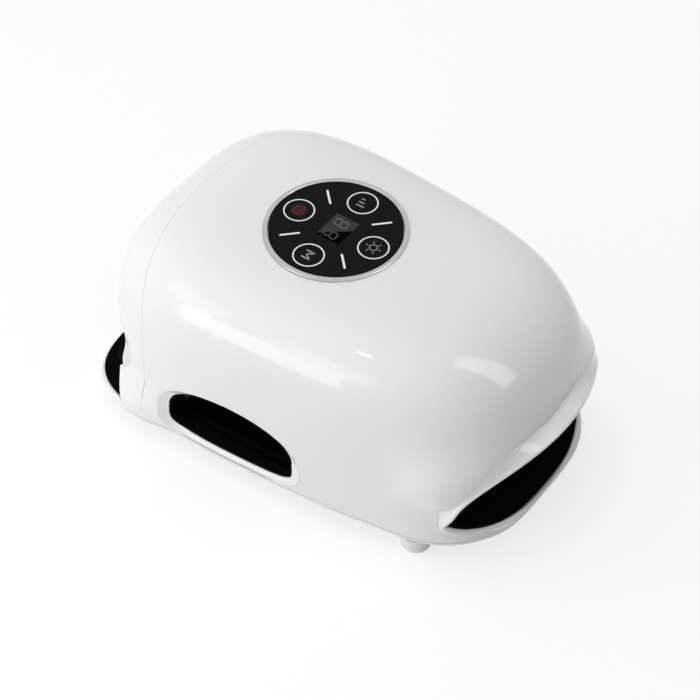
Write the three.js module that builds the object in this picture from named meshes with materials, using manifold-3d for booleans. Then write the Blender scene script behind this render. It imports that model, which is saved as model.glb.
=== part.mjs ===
// A desk-top air-compression hand massager: a glossy white dome, open at the wrist end and at the finger end,
// with a thumb slot in each side and a round touch panel on the crown.
// Millimetres, +Z up. The origin is on the table, midway between the mouths.
// +Y is the finger end, +X the user's right.
import * as THREE from "three";
import { mergeVertices } from "three/addons/utils/BufferGeometryUtils.js";
import Module from "manifold-3d";

const wasm = await Module();
wasm.setup();

// ---- Driving dimensions ----
const fit = 0.3; // clearance between pieces that seat on each other
const running = 0.08; // radial clearance of a shaft that turns or slides
const overrun = 5; // how far a cutting body runs past what it cuts

// Shell
const bodyHalfWidth = 68;
const fingerHalfLength = 99.5;
const wristHalfLength = 108.5;
const crownHeight = 104.5;
const widestHeight = 11.7;
const partingHeight = 13;
const undersideHeight = 8;
const coverWall = 2.6;
const floorWall = 2.4;
const taperShare = 0.136; // how much narrower the body is one half length nearer the fingers
const undersideShare = 0.92;
const worksHeight = 34.5; // from the deck over the hand up to the crown
const deckHeight = crownHeight - worksHeight;
const planRoundness = 3.17;
const heightRoundness = 4.8;
// the sides spread towards the wrist lip
const wristFlare = { amount: 8.3, from: 46, to: 84, low: 13, high: 36 };
// and a little towards the finger collar
const fingerFlare = { amount: 3.6, from: 44, to: 82, low: 48, high: 88 };
// above the finger collar its corners swell out once more
const fingerSwell = { amount: 7, from: 55, to: 90, start: 30, low: 46, high: 50, end: 74 };
const flareBlend = 28; // the flare fades in over this width from the middle of an end wall

// Finger mouth: its hole in the dome, and the edge of the flared collar
const fingerHole = {
  half: 53.5,
  middle: 30,
  top: deckHeight - 10.5,
  bottom: 10.8,
  topRound: 2,
  bottomRound: 4,
};
const fingerEdge = {
  half: 57.1,
  middle: 36,
  top: deckHeight - 9.5,
  bottom: 11.2,
  topRound: 2,
  bottomRound: 2.8,
};
const fingerReach = {
  visor: fingerHalfLength + 7.4,
  visorSweep: 17.6,
  lip: fingerHalfLength - 0.5,
  lipSweep: 19,
  sweepRound: 2,
};

// Wrist mouth
const wristHole = {
  half: 64,
  middle: 38,
  top: deckHeight - 4,
  bottom: 10.8,
  topRound: 2.3,
  bottomRound: 4,
};
const wristEdge = {
  half: 66,
  middle: 38,
  top: deckHeight - 2.6,
  bottom: 11.2,
  topRound: 2.3,
  bottomRound: 4,
};
const wristReach = {
  visor: wristHalfLength - 0.5,
  visorSweep: 21,
  lip: wristHalfLength + 1.5,
  lipSweep: 23.5,
  sweepRound: 2.2,
};
// the mouth's side edges lean back from the visor down to the lip
const wristSide = { top: wristHalfLength - 17.1, foot: wristHalfLength - 26, high: 29.6, web: 2.4 };
const wristLip = {
  half: 74,
  length: wristHalfLength + 2.5,
  root: wristHalfLength - 32.5,
  thickness: 2.3,
  round: 5.8,
};
// where the dome ends and the wrist collar's cap begins
const capSeam = { middle: wristHalfLength - 26.5, sweep: 12, half: 66 };

const collarWall = 2.4;
const collarProud = 0.6; // the least that a collar stands out of the wall
const collarRoot = 6; // how deep the collars reach in behind the dome's wall
const lipBlend = { low: 22, high: 40 }; // heights between which the lip sweeps up into the visor

// Thumb slots
const thumbSlot = {
  place: 84.9 - wristHalfLength,
  half: 32.95,
  middle: 27,
  top: deckHeight - 24,
  bottom: 15,
  topRound: 2,
  bottomRound: 5.4,
};
const thumbSkewShare = 0.13;
// how far the dish round a thumb slot spreads beyond it, at its ends, above and below
const dish = { ends: 5.6, above: 2.6, below: 4, depth: 2.2, rim: 0.4, bottomRound: 3.2 };
const trimWall = 1.5;
const sleeveWall = 0.9;

// Touch panel
const panelPlace = -14;
const lensRadius = 29;
const lensThickness = 1.5;
const bezelWidth = 2.5;
const bezelProud = 0.9;
const bezelSeat = 1.6; // depth of the round seat in the crown
const bezelNeckWall = 1.6;
const lensLedge = 3;
const boardThickness = 1.6;
const touchBoardRadius = 25.4;
const display = { width: 15.4, depth: 19, height: 6.4 };
const panelSides = 48;
const keyRing = 19.6; // how far the touch keys lie from the panel's centre
const touchSpring = { outer: 4, inner: 3 };

// Feet and case screws
const foot = {
  radius: 6.8,
  shoulder: 1,
  x: 50,
  fingerPlace: fingerHalfLength - 34.5,
  wristPlace: 40.5 - wristHalfLength,
};
const screw = { shank: 1.5, head: 2.8, headHeight: 1.8, length: 9, boss: 4 };

// Inner frame: the tunnel over the hand, and the deck that carries the works
const tunnel = { wall: 2.2, deck: deckHeight, round: 6 };
const tunnelWrist = { place: 36.5 - wristHalfLength, half: 61 };
const tunnelMiddle = { place: -10, half: 58.5 };
const tunnelShoulder = { place: fingerHalfLength - 43.5, half: 51.5 };
const tunnelFinger = { place: fingerHalfLength - 31.5, half: 49 };
const liningWall = 1;
// how far inside a collar's edge its lining starts, as a share of the collar's depth
const liningStart = 0.34;
// the wrist lining's tongue, which covers the lip to just inside its edge
const tongue = { inset: 1.5, thickness: 1.2 };

// Under the hand
const massagePlate = { halfWidth: 43, halfLength: 58, thickness: 2 };
const massageNode = { radius: 5, height: 4.4, pitchX: 20, pitchY: 22, columns: 3, rows: 4 };
const floorLining = { thickness: 1.2, halfWidth: 45.5, halfLength: 64, skirt: 4.5 };

// Over the hand
const airBag = { halfWidth: 36, halfLength: 50, thickness: 2.6, below: 1.4 };
const pressPlate = { halfWidth: 38, halfLength: 52, thickness: 2 };
const heatFilm = { halfWidth: 34, halfLength: 47, thickness: 0.5 };
const cushion = { halfWidth: 40, halfLength: 55, thickness: 9.5, edge: 5, round: 5, middle: -4 };

// Works on the deck
const cell = { radius: 9.1, length: 65, middle: 20.5, places: [14.2, 33.2] };
const holder = { floor: 1.4, wall: 1.6, wallHeight: 11 };
const mainBoard = { width: 38, depth: 44, x: 15, y: -41, stand: 4.5, post: 2.4 };
const chip = { width: 12, depth: 12, height: 1.8 };
const capacitor = { radius: 4, height: 9 };
const motor = { radius: 11, length: 32, x: -30, start: 3 };
const pumpHead = { radius: 12.2, length: 20, wall: 2, chamber: 12.5 };
const crank = { shaft: 1.1, bearing: 5, disc: 7.4, discThickness: 3, pin: 1.6, pinOffset: 4, pinLength: 5 };
const cradle = { wall: 1.6, width: 8 };
const nozzle = { radius: 2.4, length: 3 };
const valve = { side: 12, height: 17, plunger: 2, head: 3.6, headHeight: 1.6, sink: 10, y: -9 };
const valvePlaces = [-39, -23];
const manifoldBlock = { width: 14, depth: 12, height: 9, x: -30, y: -32 };
const stem = { radius: 3, margin: 0.4 };
const tube = { radius: 2.4, lane: -8, low: 5.5 };
const pillar = {
  radius: 3.6,
  fingerX: 33,
  fingerPlace: fingerHalfLength - 38.5,
  wristX: 40,
  wristPlace: 42.5 - wristHalfLength,
};
const coverScrewLength = 10;

// Charging socket in the wrist end's wall
const socket = {
  width: 9,
  height: 3.3,
  depth: 9,
  wall: 0.45,
  tongue: 0.7,
  tongueWidth: 6,
  z: crownHeight - 21.5,
};
const chargeBoard = { width: 17, depth: 15, thickness: 1.2 };
const shelf = { width: 19, thickness: 1.6 };

// ---- Materials ----
const finish = (color, roughness, metalness = 0) =>
  new THREE.MeshStandardMaterial({ color, roughness, metalness });
const shellWhite = finish(0xf1f0ee, 0.16);
const trimWhite = finish(0xeceae8, 0.22);
const footRubber = finish(0xe9e8e6, 0.6);
const bezelSilver = finish(0xbfc0c2, 0.25, 0.8);
const lensBlack = finish(0x0a090a, 0.06);
const liningBlack = finish(0x0c0c0d, 0.95);
const frameBlack = finish(0x18181a, 0.6);
const boardGreen = finish(0x1d5a35, 0.5);
const steel = finish(0xa9abad, 0.3, 0.9);
const cellBlue = finish(0x2f5f9e, 0.4);
const rubberGrey = finish(0x4b4c4e, 0.8);
const bagGrey = finish(0x8f9296, 0.5);
const filmAmber = finish(0xb4702a, 0.4);
const plasticWhite = finish(0xdcdad6, 0.5);
const tubeClear = finish(0xc9cdd0, 0.3);

// ---- Geometry helpers ----
function solidOf(geometry) {
  const bare = geometry.index ? geometry.toNonIndexed() : geometry.clone();
  bare.deleteAttribute("normal");
  bare.deleteAttribute("uv");
  const merged = mergeVertices(bare, 1e-4);
  return new wasm.Manifold(
    new wasm.Mesh({
      numProp: 3,
      vertProperties: merged.attributes.position.array,
      triVerts: new Uint32Array(merged.index.array),
    }),
  );
}

function geometryOf(solid) {
  const mesh = solid.getMesh();
  const geometry = new THREE.BufferGeometry();
  geometry.setAttribute("position", new THREE.BufferAttribute(mesh.vertProperties, 3));
  geometry.setIndex(new THREE.BufferAttribute(mesh.triVerts, 1));
  geometry.computeVertexNormals();
  return geometry;
}

// A closed body through a list of rings with as many points each, capped at both ends by a fan.
function loft(rings) {
  const count = rings[0].length;
  const points = rings.flat();
  const faces = [];
  for (let r = 0; r + 1 < rings.length; r++) {
    for (let i = 0; i < count; i++) {
      const a = r * count + i;
      const b = r * count + ((i + 1) % count);
      faces.push(a, b, b + count, a, b + count, a + count);
    }
  }
  const addCap = (ring, first, flip) => {
    const centre = ring.reduce((sum, p) => sum.add(p), new THREE.Vector3()).divideScalar(count);
    const middle = points.push(centre) - 1;
    for (let i = 0; i < count; i++) {
      const a = first + i;
      const b = first + ((i + 1) % count);
      faces.push(...(flip ? [middle, b, a] : [middle, a, b]));
    }
  };
  addCap(rings[0], 0, true);
  addCap(rings[rings.length - 1], (rings.length - 1) * count, false);
  return bodyOf(points, faces);
}

// A closed ring: the same closed section at each turn, joined end to start.
function ringLoft(sections) {
  const count = sections[0].length;
  const total = sections.length;
  const faces = [];
  for (let s = 0; s < total; s++) {
    for (let i = 0; i < count; i++) {
      const a = s * count + i;
      const b = s * count + ((i + 1) % count);
      const c = ((s + 1) % total) * count + i;
      const d = ((s + 1) % total) * count + ((i + 1) % count);
      faces.push(a, b, d, a, d, c);
    }
  }
  return bodyOf(sections.flat(), faces);
}

// Points and faces as a solid that faces outwards.
function bodyOf(points, faces) {
  const build = (order) => {
    const geometry = new THREE.BufferGeometry();
    geometry.setAttribute(
      "position",
      new THREE.Float32BufferAttribute(points.flatMap((p) => [p.x, p.y, p.z]), 3),
    );
    geometry.setIndex(order);
    return solidOf(geometry);
  };
  const made = build(faces);
  return made.volume() > 0 ? made : build([...faces].reverse());
}

const lathe = (profile, sides, x = 0, y = 0) =>
  solidOf(
    new THREE.LatheGeometry(profile.map(([r, z]) => new THREE.Vector2(r, z)), sides)
      .rotateX(Math.PI / 2)
      .translate(x, y, 0),
  );

const rod = (radius, from, to, sides, x = 0, y = 0) =>
  solidOf(
    new THREE.CylinderGeometry(radius, radius, to - from, sides)
      .rotateX(Math.PI / 2)
      .translate(x, y, (from + to) / 2),
  );

// A rod along Y.
const rodY = (radius, from, to, sides, x, z) =>
  solidOf(new THREE.CylinderGeometry(radius, radius, to - from, sides).translate(x, (from + to) / 2, z));

// A rod along X.
const rodX = (radius, from, to, sides, y, z) =>
  solidOf(
    new THREE.CylinderGeometry(radius, radius, to - from, sides)
      .rotateZ(Math.PI / 2)
      .translate((from + to) / 2, y, z),
  );

const block = (x0, x1, y0, y1, z0, z1) =>
  solidOf(
    new THREE.BoxGeometry(x1 - x0, y1 - y0, z1 - z0).translate((x0 + x1) / 2, (y0 + y1) / 2, (z0 + z1) / 2),
  );

// A prism along Y from an outline in X and Z, or along X from one in Y and Z.
function prismY(outline, from, to) {
  const shape = new THREE.Shape(outline.map(([x, z]) => new THREE.Vector2(x, z)));
  const geometry = new THREE.ExtrudeGeometry(shape, { depth: to - from, bevelEnabled: false });
  return solidOf(geometry.rotateX(Math.PI / 2).translate(0, to, 0));
}
function prismX(outline, from, to) {
  const shape = new THREE.Shape(outline.map(([y, z]) => new THREE.Vector2(y, z)));
  const geometry = new THREE.ExtrudeGeometry(shape, { depth: to - from, bevelEnabled: false });
  return solidOf(geometry.rotateX(Math.PI / 2).rotateZ(Math.PI / 2).translate(from, 0, 0));
}
function prismZ(outline, from, to) {
  const shape = new THREE.Shape(outline.map(([x, y]) => new THREE.Vector2(x, y)));
  const geometry = new THREE.ExtrudeGeometry(shape, { depth: to - from, bevelEnabled: false });
  return solidOf(geometry.translate(0, 0, from));
}

const joined = (first, ...others) => others.reduce((sum, other) => sum.add(other), first);
const cutBy = (first, ...others) => others.reduce((sum, other) => sum.subtract(other), first);
const turns = (count) => Array.from({ length: count }, (_, i) => (i / count) * 2 * Math.PI);
const power = (value, exponent) => Math.sign(value) * Math.abs(value) ** exponent;
const smooth = (t) => {
  const s = Math.min(1, Math.max(0, t));
  return s * s * (3 - 2 * s);
};
const mirrored = (solid) => solid.mirror([1, 0, 0]);

// ---- The dome's form: a rounded box that narrows towards the fingers ----
const riseShares = [0.06, 0.14, 0.24, 0.38, 0.54, 0.68, 0.79, 0.87, 0.925, 0.965, 0.99];
const planSides = 48;

const shrinkAt = (rise) => (1 - Math.max(0, rise) ** heightRoundness) ** (1 / heightRoundness);

const flareShare = (flare, y, z) =>
  smooth((Math.abs(y) - flare.from) / (flare.to - flare.from)) *
  (1 - smooth((z - flare.low) / (flare.high - flare.low)));
const swellOf = (y, z) => {
  const { amount, from, to, start, low, high, end } = fingerSwell;
  const rise = smooth((z - start) / (low - start)) * (1 - smooth((z - high) / (end - high)));
  return amount * smooth((y - from) / (to - from)) * rise;
};
const flareOf = (y, z) => {
  const flare = y > 0 ? fingerFlare : wristFlare;
  return flare.amount * flareShare(flare, y, z) + swellOf(y, z);
};

function planPoint(turn, shrink, inset, z) {
  const halfLength = (Math.sin(turn) > 0 ? fingerHalfLength : wristHalfLength) - inset;
  const y = halfLength * shrink * power(Math.sin(turn), 2 / planRoundness);
  const x = (bodyHalfWidth - inset) * shrink * power(Math.cos(turn), 2 / planRoundness);
  const bare = x * (1 - (taperShare * y) / wristHalfLength);
  const spread = flareOf(y, z) * smooth(Math.abs(bare) / flareBlend);
  return new THREE.Vector3(bare + Math.sign(bare) * spread, y, z);
}

function domeSolid(inset, bottom) {
  const rise = crownHeight - inset - widestHeight;
  const rings = [turns(planSides).map((turn) => planPoint(turn, 1, inset, bottom))];
  for (const share of riseShares) {
    const z = widestHeight + rise * share;
    rings.push(turns(planSides).map((turn) => planPoint(turn, shrinkAt(share), inset, z)));
  }
  const topShrink = shrinkAt(riseShares[riseShares.length - 1]) / 2;
  rings.push(turns(planSides).map((turn) => planPoint(turn, topShrink, inset, crownHeight - inset)));
  return loft(rings);
}

// How far out the shell's end stands at a place across it, and its side at a place along it.
function endAt(side, x, z) {
  const shrink = shrinkAt((z - widestHeight) / (crownHeight - widestHeight));
  const halfLength = (side > 0 ? fingerHalfLength : wristHalfLength) * shrink;
  let y = 0.8 * side * halfLength;
  for (let i = 0; i < 12; i++) {
    const halfWidth = bodyHalfWidth * shrink * (1 - (taperShare * y) / wristHalfLength);
    const spread = flareOf(y, z) * smooth(Math.abs(x) / flareBlend);
    const across = Math.min(0.995, Math.abs(Math.abs(x) - spread) / halfWidth);
    y = side * halfLength * (1 - across ** planRoundness) ** (1 / planRoundness);
  }
  return y;
}
function sideAt(y, z) {
  const shrink = shrinkAt((z - widestHeight) / (crownHeight - widestHeight));
  const along = Math.min(0.995, Math.abs(y) / ((y > 0 ? fingerHalfLength : wristHalfLength) * shrink));
  const bare = bodyHalfWidth * shrink * (1 - along ** planRoundness) ** (1 / planRoundness);
  return bare * (1 - (taperShare * y) / wristHalfLength) + flareOf(y, z);
}

// A mouth's outline, wide and low with its own roundness above and below.
function mouthPoint(o, turn, grow) {
  const upper = Math.sin(turn) > 0;
  const round = 2 / (upper ? o.topRound : o.bottomRound);
  const height = (upper ? o.top - o.middle : o.middle - o.bottom) + grow;
  return [(o.half + grow) * power(Math.cos(turn), round), o.middle + height * power(Math.sin(turn), round)];
}
const mouthOutline = (o, grow, count) => turns(count).map((turn) => mouthPoint(o, turn, grow));

// A thumb slot's outline, or part of the way out to its dish's: the arch leans towards the fingers.
function thumbPoint(turn, grow, share = 0) {
  const outline = {
    ...thumbSlot,
    half: thumbSlot.half + share * dish.ends,
    top: thumbSlot.top + share * dish.above,
    bottom: thumbSlot.bottom - share * dish.below,
    bottomRound: thumbSlot.bottomRound + share * (dish.bottomRound - thumbSlot.bottomRound),
  };
  const [y, z] = mouthPoint(outline, turn, grow);
  return [thumbSlot.place + y + thumbSkewShare * Math.max(0, z - thumbSlot.middle), z];
}

// How far out a collar's edge reaches: a visor above, a lip below.
function reachAt(edge, reach, x, z) {
  const across = Math.min(1, Math.abs(x) / edge.half) ** reach.sweepRound;
  const visor = reach.visor - reach.visorSweep * across;
  const lip = reach.lip - reach.lipSweep * across;
  return lip + (visor - lip) * smooth((z - lipBlend.low) / (lipBlend.high - lipBlend.low));
}

// ---- Shell pieces ----
const mouthTurns = 40;

function capZone(grow) {
  const far = wristHalfLength + overrun;
  const wide = bodyHalfWidth * (1 + taperShare) + overrun;
  const seam = [-1, -0.75, -0.5, -0.25, 0, 0.25, 0.5, 0.75, 1].map((share) => {
    const x = share * capSeam.half;
    return [x, -(capSeam.middle - capSeam.sweep * share ** 2) + grow];
  });
  const last = seam[seam.length - 1][1];
  return prismZ(
    [[-wide, -far], [wide, -far], [wide, last], ...seam.reverse(), [-wide, last]],
    undersideHeight - overrun,
    crownHeight + overrun,
  );
}

const domeShell = cutBy(domeSolid(0, partingHeight), domeSolid(coverWall, partingHeight - overrun));
const seatTop = crownHeight + bezelProud;
const seatFloor = crownHeight - bezelSeat;
const bezelRadius = lensRadius + bezelWidth;
const neckRadius = lensRadius + bezelNeckWall - 2 * fit;

const thumbTurns = 30;
const thumbHole = prismX(
  turns(thumbTurns).map((turn) => thumbPoint(turn, fit, 1)),
  0,
  2 * bodyHalfWidth,
);

function pillars(top, clear) {
  const places = [
    [pillar.fingerX, pillar.fingerPlace],
    [-pillar.fingerX, pillar.fingerPlace],
    [pillar.wristX, pillar.wristPlace],
    [-pillar.wristX, pillar.wristPlace],
  ];
  return places.map(([x, y]) => ({ x, y, solid: rod(pillar.radius, tunnel.deck + clear, top, 12, x, y) }));
}

function topCover() {
  const core = domeSolid(coverWall / 2, partingHeight);
  const posts = pillars(crownHeight, fit).map((post) =>
    cutBy(
      post.solid,
      rod(screw.shank + fit, tunnel.deck - overrun, tunnel.deck + coverScrewLength, 8, post.x, post.y),
    ).intersect(core),
  );
  return cutBy(
    joined(domeShell, ...posts),
    capZone(0),
    prismY(mouthOutline(fingerHole, fit, mouthTurns), 0, 2 * fingerHalfLength),
    thumbHole,
    mirrored(thumbHole),
    rod(bezelRadius + fit, seatFloor, crownHeight + overrun, 48, 0, panelPlace),
    rod(neckRadius + fit, seatFloor - overrun, seatTop, 48, 0, panelPlace),
  );
}

// The flared ring of a mouth: rooted behind the dome's wall, out to its edge and back inside.
function collarRing(side, hole, edge, reach, rootMost) {
  return ringLoft(
    turns(mouthTurns).map((turn) => {
      const [hx, hz] = mouthPoint(hole, turn, 0);
      const [rx, rz] = mouthPoint(hole, turn, -collarWall);
      const [ex, ez] = mouthPoint(edge, turn, 0);
      const [nx, nz] = mouthPoint(edge, turn, -collarWall / 2);
      const [ix, iz] = mouthPoint(edge, turn, -collarWall);
      const wall = Math.abs(endAt(side, hx, hz));
      const out = Math.max(reachAt(edge, reach, ex, ez), wall + collarProud);
      const root = Math.min(wall - collarRoot, rootMost);
      return [
        new THREE.Vector3(hx, side * root, hz),
        new THREE.Vector3(hx, side * wall, hz),
        new THREE.Vector3(ex, side * (out - collarWall / 2), ez),
        new THREE.Vector3(nx, side * out, nz),
        new THREE.Vector3(ix, side * (out - collarWall / 2), iz),
        new THREE.Vector3(rx, side * (wall - collarWall), rz),
        new THREE.Vector3(rx, side * root, rz),
      ];
    }),
  );
}

const lipOutline = (inset) =>
  turns(planSides).map((turn) => [
    (wristLip.half - inset) * power(Math.cos(turn), 2 / wristLip.round),
    (wristLip.length - inset) * power(Math.sin(turn), 2 / wristLip.round),
  ]);

function wristLipPlate() {
  const low = wristHole.bottom;
  const outline = lipOutline(0);
  const plate = prismZ(outline, low, low + wristLip.thickness);
  const rooted = block(
    -wristLip.half,
    wristLip.half,
    -wristLip.length,
    -wristLip.root,
    low - overrun,
    low + overrun,
  );
  return plate.intersect(rooted);
}

const socketZ = socket.z;
const socketWallY = endAt(-1, 0, socketZ + socket.height / 2) + fit;
const chargeBoardTop = socketZ - socket.height / 2;
const chargeBoardBottom = chargeBoardTop - chargeBoard.thickness;

const lipTop = wristHole.bottom + wristLip.thickness;

function wristCollar() {
  const shelfTop = chargeBoardBottom;
  const aside = prismX(
    [
      [-2 * wristHalfLength, lipTop],
      [-wristSide.foot, lipTop],
      [-wristSide.top, wristSide.high],
      [-2 * wristHalfLength, wristSide.high],
    ],
    -2 * bodyHalfWidth,
    2 * bodyHalfWidth,
  );
  const cap = cutBy(
    domeShell.intersect(capZone(-fit)),
    prismY(mouthOutline(wristHole, -collarWall / 4, mouthTurns), -2 * wristHalfLength, 0),
    aside,
  );
  const web = cutBy(
    domeSolid(coverWall / 2, partingHeight - fit).intersect(
      block(
        -2 * bodyHalfWidth,
        2 * bodyHalfWidth,
        -wristSide.foot + fit,
        -wristSide.foot + fit + wristSide.web,
        lipTop - wristLip.thickness / 2,
        wristSide.high,
      ),
    ),
    prismY(mouthOutline(wristHole, -collarWall / 2, mouthTurns), -2 * wristHalfLength, 0),
  );
  const ledge = block(
    -shelf.width / 2,
    shelf.width / 2,
    endAt(-1, shelf.width / 2, shelfTop) + coverWall / 2,
    socketWallY + coverWall + chargeBoard.depth,
    shelfTop - shelf.thickness,
    shelfTop,
  );
  const port = block(
    -(socket.width / 2 + fit),
    socket.width / 2 + fit,
    socketWallY - overrun,
    socketWallY + overrun,
    socketZ - socket.height / 2 - fit,
    socketZ + socket.height / 2 + fit,
  );
  const rootMost = wristSide.foot - collarRoot;
  const ring = cutBy(collarRing(-1, wristHole, wristEdge, wristReach, rootMost), aside);
  return cutBy(joined(cap, ring, web, wristLipPlate(), ledge), port);
}

const fingerCollar = () => collarRing(1, fingerHole, fingerEdge, fingerReach, fingerHalfLength);

function bottomRing(shrink, inset, z) {
  return turns(planSides).map((turn) => planPoint(turn, shrink, inset, z));
}

const footPlaces = [
  [foot.x, foot.fingerPlace],
  [-foot.x, foot.fingerPlace],
  [foot.x, foot.wristPlace],
  [-foot.x, foot.wristPlace],
];
const floorTop = undersideHeight + floorWall;

function bottomCover() {
  const span = partingHeight - fit - undersideHeight;
  const steps = [0, 0.15, 0.45, 0.8, 1];
  const outer = loft(
    steps.map((share) =>
      bottomRing(
        undersideShare + (1 - undersideShare) * (1 - (1 - share) ** 3),
        0,
        undersideHeight + span * share,
      ),
    ),
  );
  const inner = loft([
    bottomRing(1 - (1 - undersideShare) / 3, coverWall, floorTop),
    bottomRing(1, coverWall, partingHeight + overrun),
  ]);
  const mouths = [
    prismY(mouthOutline(fingerHole, fit, mouthTurns), 0, 2 * fingerHalfLength),
    prismY(mouthOutline(wristHole, fit, mouthTurns), -2 * wristHalfLength, 0),
    block(
      -2 * bodyHalfWidth,
      2 * bodyHalfWidth,
      -2 * wristHalfLength,
      -wristLip.root + fit,
      wristHole.bottom - fit,
      crownHeight,
    ),
  ];
  const bosses = footPlaces.map(([x, y]) =>
    rod(screw.boss, undersideHeight + floorWall / 2, floorTop + screw.headHeight, 16, x, y),
  );
  const bores = footPlaces.map(([x, y]) =>
    joined(
      rod(screw.shank + fit, undersideHeight - overrun, floorTop + overrun, 12, x, y),
      rod(screw.head + fit, undersideHeight - overrun, undersideHeight + screw.headHeight + fit, 12, x, y),
    ),
  );
  return cutBy(joined(cutBy(outer, inner), ...bosses), ...mouths, ...bores);
}

const footSolid = ([x, y]) =>
  lathe(
    [
      [0, 0],
      [foot.radius - foot.shoulder, 0],
      [foot.radius, foot.shoulder],
      [foot.radius, undersideHeight - fit],
      [0, undersideHeight - fit],
    ],
    24,
    x,
    y,
  );

const bossTop = floorTop + screw.headHeight;
const caseScrew = ([x, y]) => {
  const seat = undersideHeight + screw.headHeight;
  return joined(
    rod(screw.head, undersideHeight, seat, 12, x, y),
    rod(screw.shank, seat - fit, seat + screw.length, 12, x, y),
  );
};

// The dished ring of a thumb slot, cut off level with the dome's lower edge.
function thumbTrim() {
  const ring = ringLoft(
    turns(thumbTurns).map((turn) => {
      const at = (share, sink, grow = 0) => {
        const [y, z] = thumbPoint(turn, grow, share);
        return new THREE.Vector3(sideAt(y, z) - sink, y, z);
      };
      return [
        at(1, coverWall),
        at(1, -dish.rim / 2),
        at(0.85, -dish.rim),
        at(0.4, dish.depth / 2),
        at(0, dish.depth),
        at(0, dish.depth + trimWall),
        at(0, dish.depth + trimWall, trimWall),
      ];
    }),
  );
  const below = block(0, 2 * bodyHalfWidth, -bodyHalfWidth, bodyHalfWidth, 0, partingHeight);
  return cutBy(ring, below);
}

// The black sleeve from a thumb slot's ring in to the tunnel.
function thumbSleeve() {
  const neck = Math.max(tunnelWrist.half, tunnelMiddle.half) + fit;
  return ringLoft(
    turns(thumbTurns).map((turn) => {
      const point = (grow, out) => {
        const [y, z] = thumbPoint(turn, grow);
        const side = sideAt(y, z) - dish.depth;
        return new THREE.Vector3(out ? side : Math.min(neck, side - trimWall), y, z);
      };
      return [
        point(-fit, true),
        point(-fit - sleeveWall, true),
        point(-fit - sleeveWall, false),
        point(trimWall, false),
        point(trimWall, false).add(new THREE.Vector3(sleeveWall, 0, 0)),
        point(-fit, false).add(new THREE.Vector3(sleeveWall, 0, 0)),
      ];
    }),
  );
}

// ---- Touch panel ----
const lensTop = seatTop - bezelProud / 2;
const lensBottom = lensTop - lensThickness;
const boardTop = lensBottom - fit - display.height;
const boardBottom = boardTop - boardThickness;
const ledgeRadius = touchBoardRadius + fit;

function panelBezel() {
  const ledgeTop = lensBottom - fit;
  const rim = lensRadius + fit;
  return lathe(
    [
      [ledgeRadius, boardBottom - fit],
      [neckRadius, boardBottom - fit],
      [neckRadius, seatFloor + fit],
      [bezelRadius, seatFloor + fit],
      [bezelRadius, seatTop - bezelProud / 2],
      [bezelRadius - bezelProud / 2, seatTop],
      [rim + bezelProud / 4, seatTop],
      [rim, lensTop],
      [rim, ledgeTop],
      [ledgeRadius, ledgeTop],
      [ledgeRadius, boardBottom - fit],
    ],
    panelSides,
    0,
    panelPlace,
  );
}
const panelLens = () => rod(lensRadius, lensBottom, lensTop, panelSides, 0, panelPlace);
const touchBoard = () => rod(touchBoardRadius, boardBottom, boardTop, 40, 0, panelPlace);
const displayModule = () =>
  block(
    -display.depth / 2,
    display.depth / 2,
    panelPlace - display.width / 2,
    panelPlace + display.width / 2,
    boardTop,
    lensBottom - fit,
  );
const touchSpringSolid = (turn) =>
  lathe(
    [
      [touchSpring.inner, boardTop],
      [touchSpring.outer, boardTop],
      [touchSpring.outer, lensBottom - fit],
      [touchSpring.inner, lensBottom - fit],
      [touchSpring.inner, boardTop],
    ],
    16,
    keyRing * Math.cos(turn),
    panelPlace + keyRing * Math.sin(turn),
  );

// ---- Inner frame ----
const frameFoot = floorTop + fit;
const coverScrewSeat = tunnel.deck - 2 * tunnel.wall;

function tunnelRing(station, inset, bottom) {
  const deck = station.deck ?? tunnel.deck;
  const half = station.half - inset;
  const count = 20;
  const points = [];
  for (let i = 0; i <= count; i++) {
    const turn = (i / count) * Math.PI;
    const x = half * power(Math.cos(turn), 2 / tunnel.round);
    const z = bottom + (deck - inset - bottom) * power(Math.sin(turn), 2 / tunnel.round);
    points.push(new THREE.Vector3(x, station.place, z));
  }
  return points;
}

function tunnelSolid(inset, bottom, run) {
  const first = { ...tunnelWrist, place: tunnelWrist.place - run };
  const last = { ...tunnelFinger, place: tunnelFinger.place + run };
  const stations = [first, tunnelMiddle, tunnelShoulder, last];
  return loft(stations.map((station) => tunnelRing(station, inset, bottom)));
}

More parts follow.
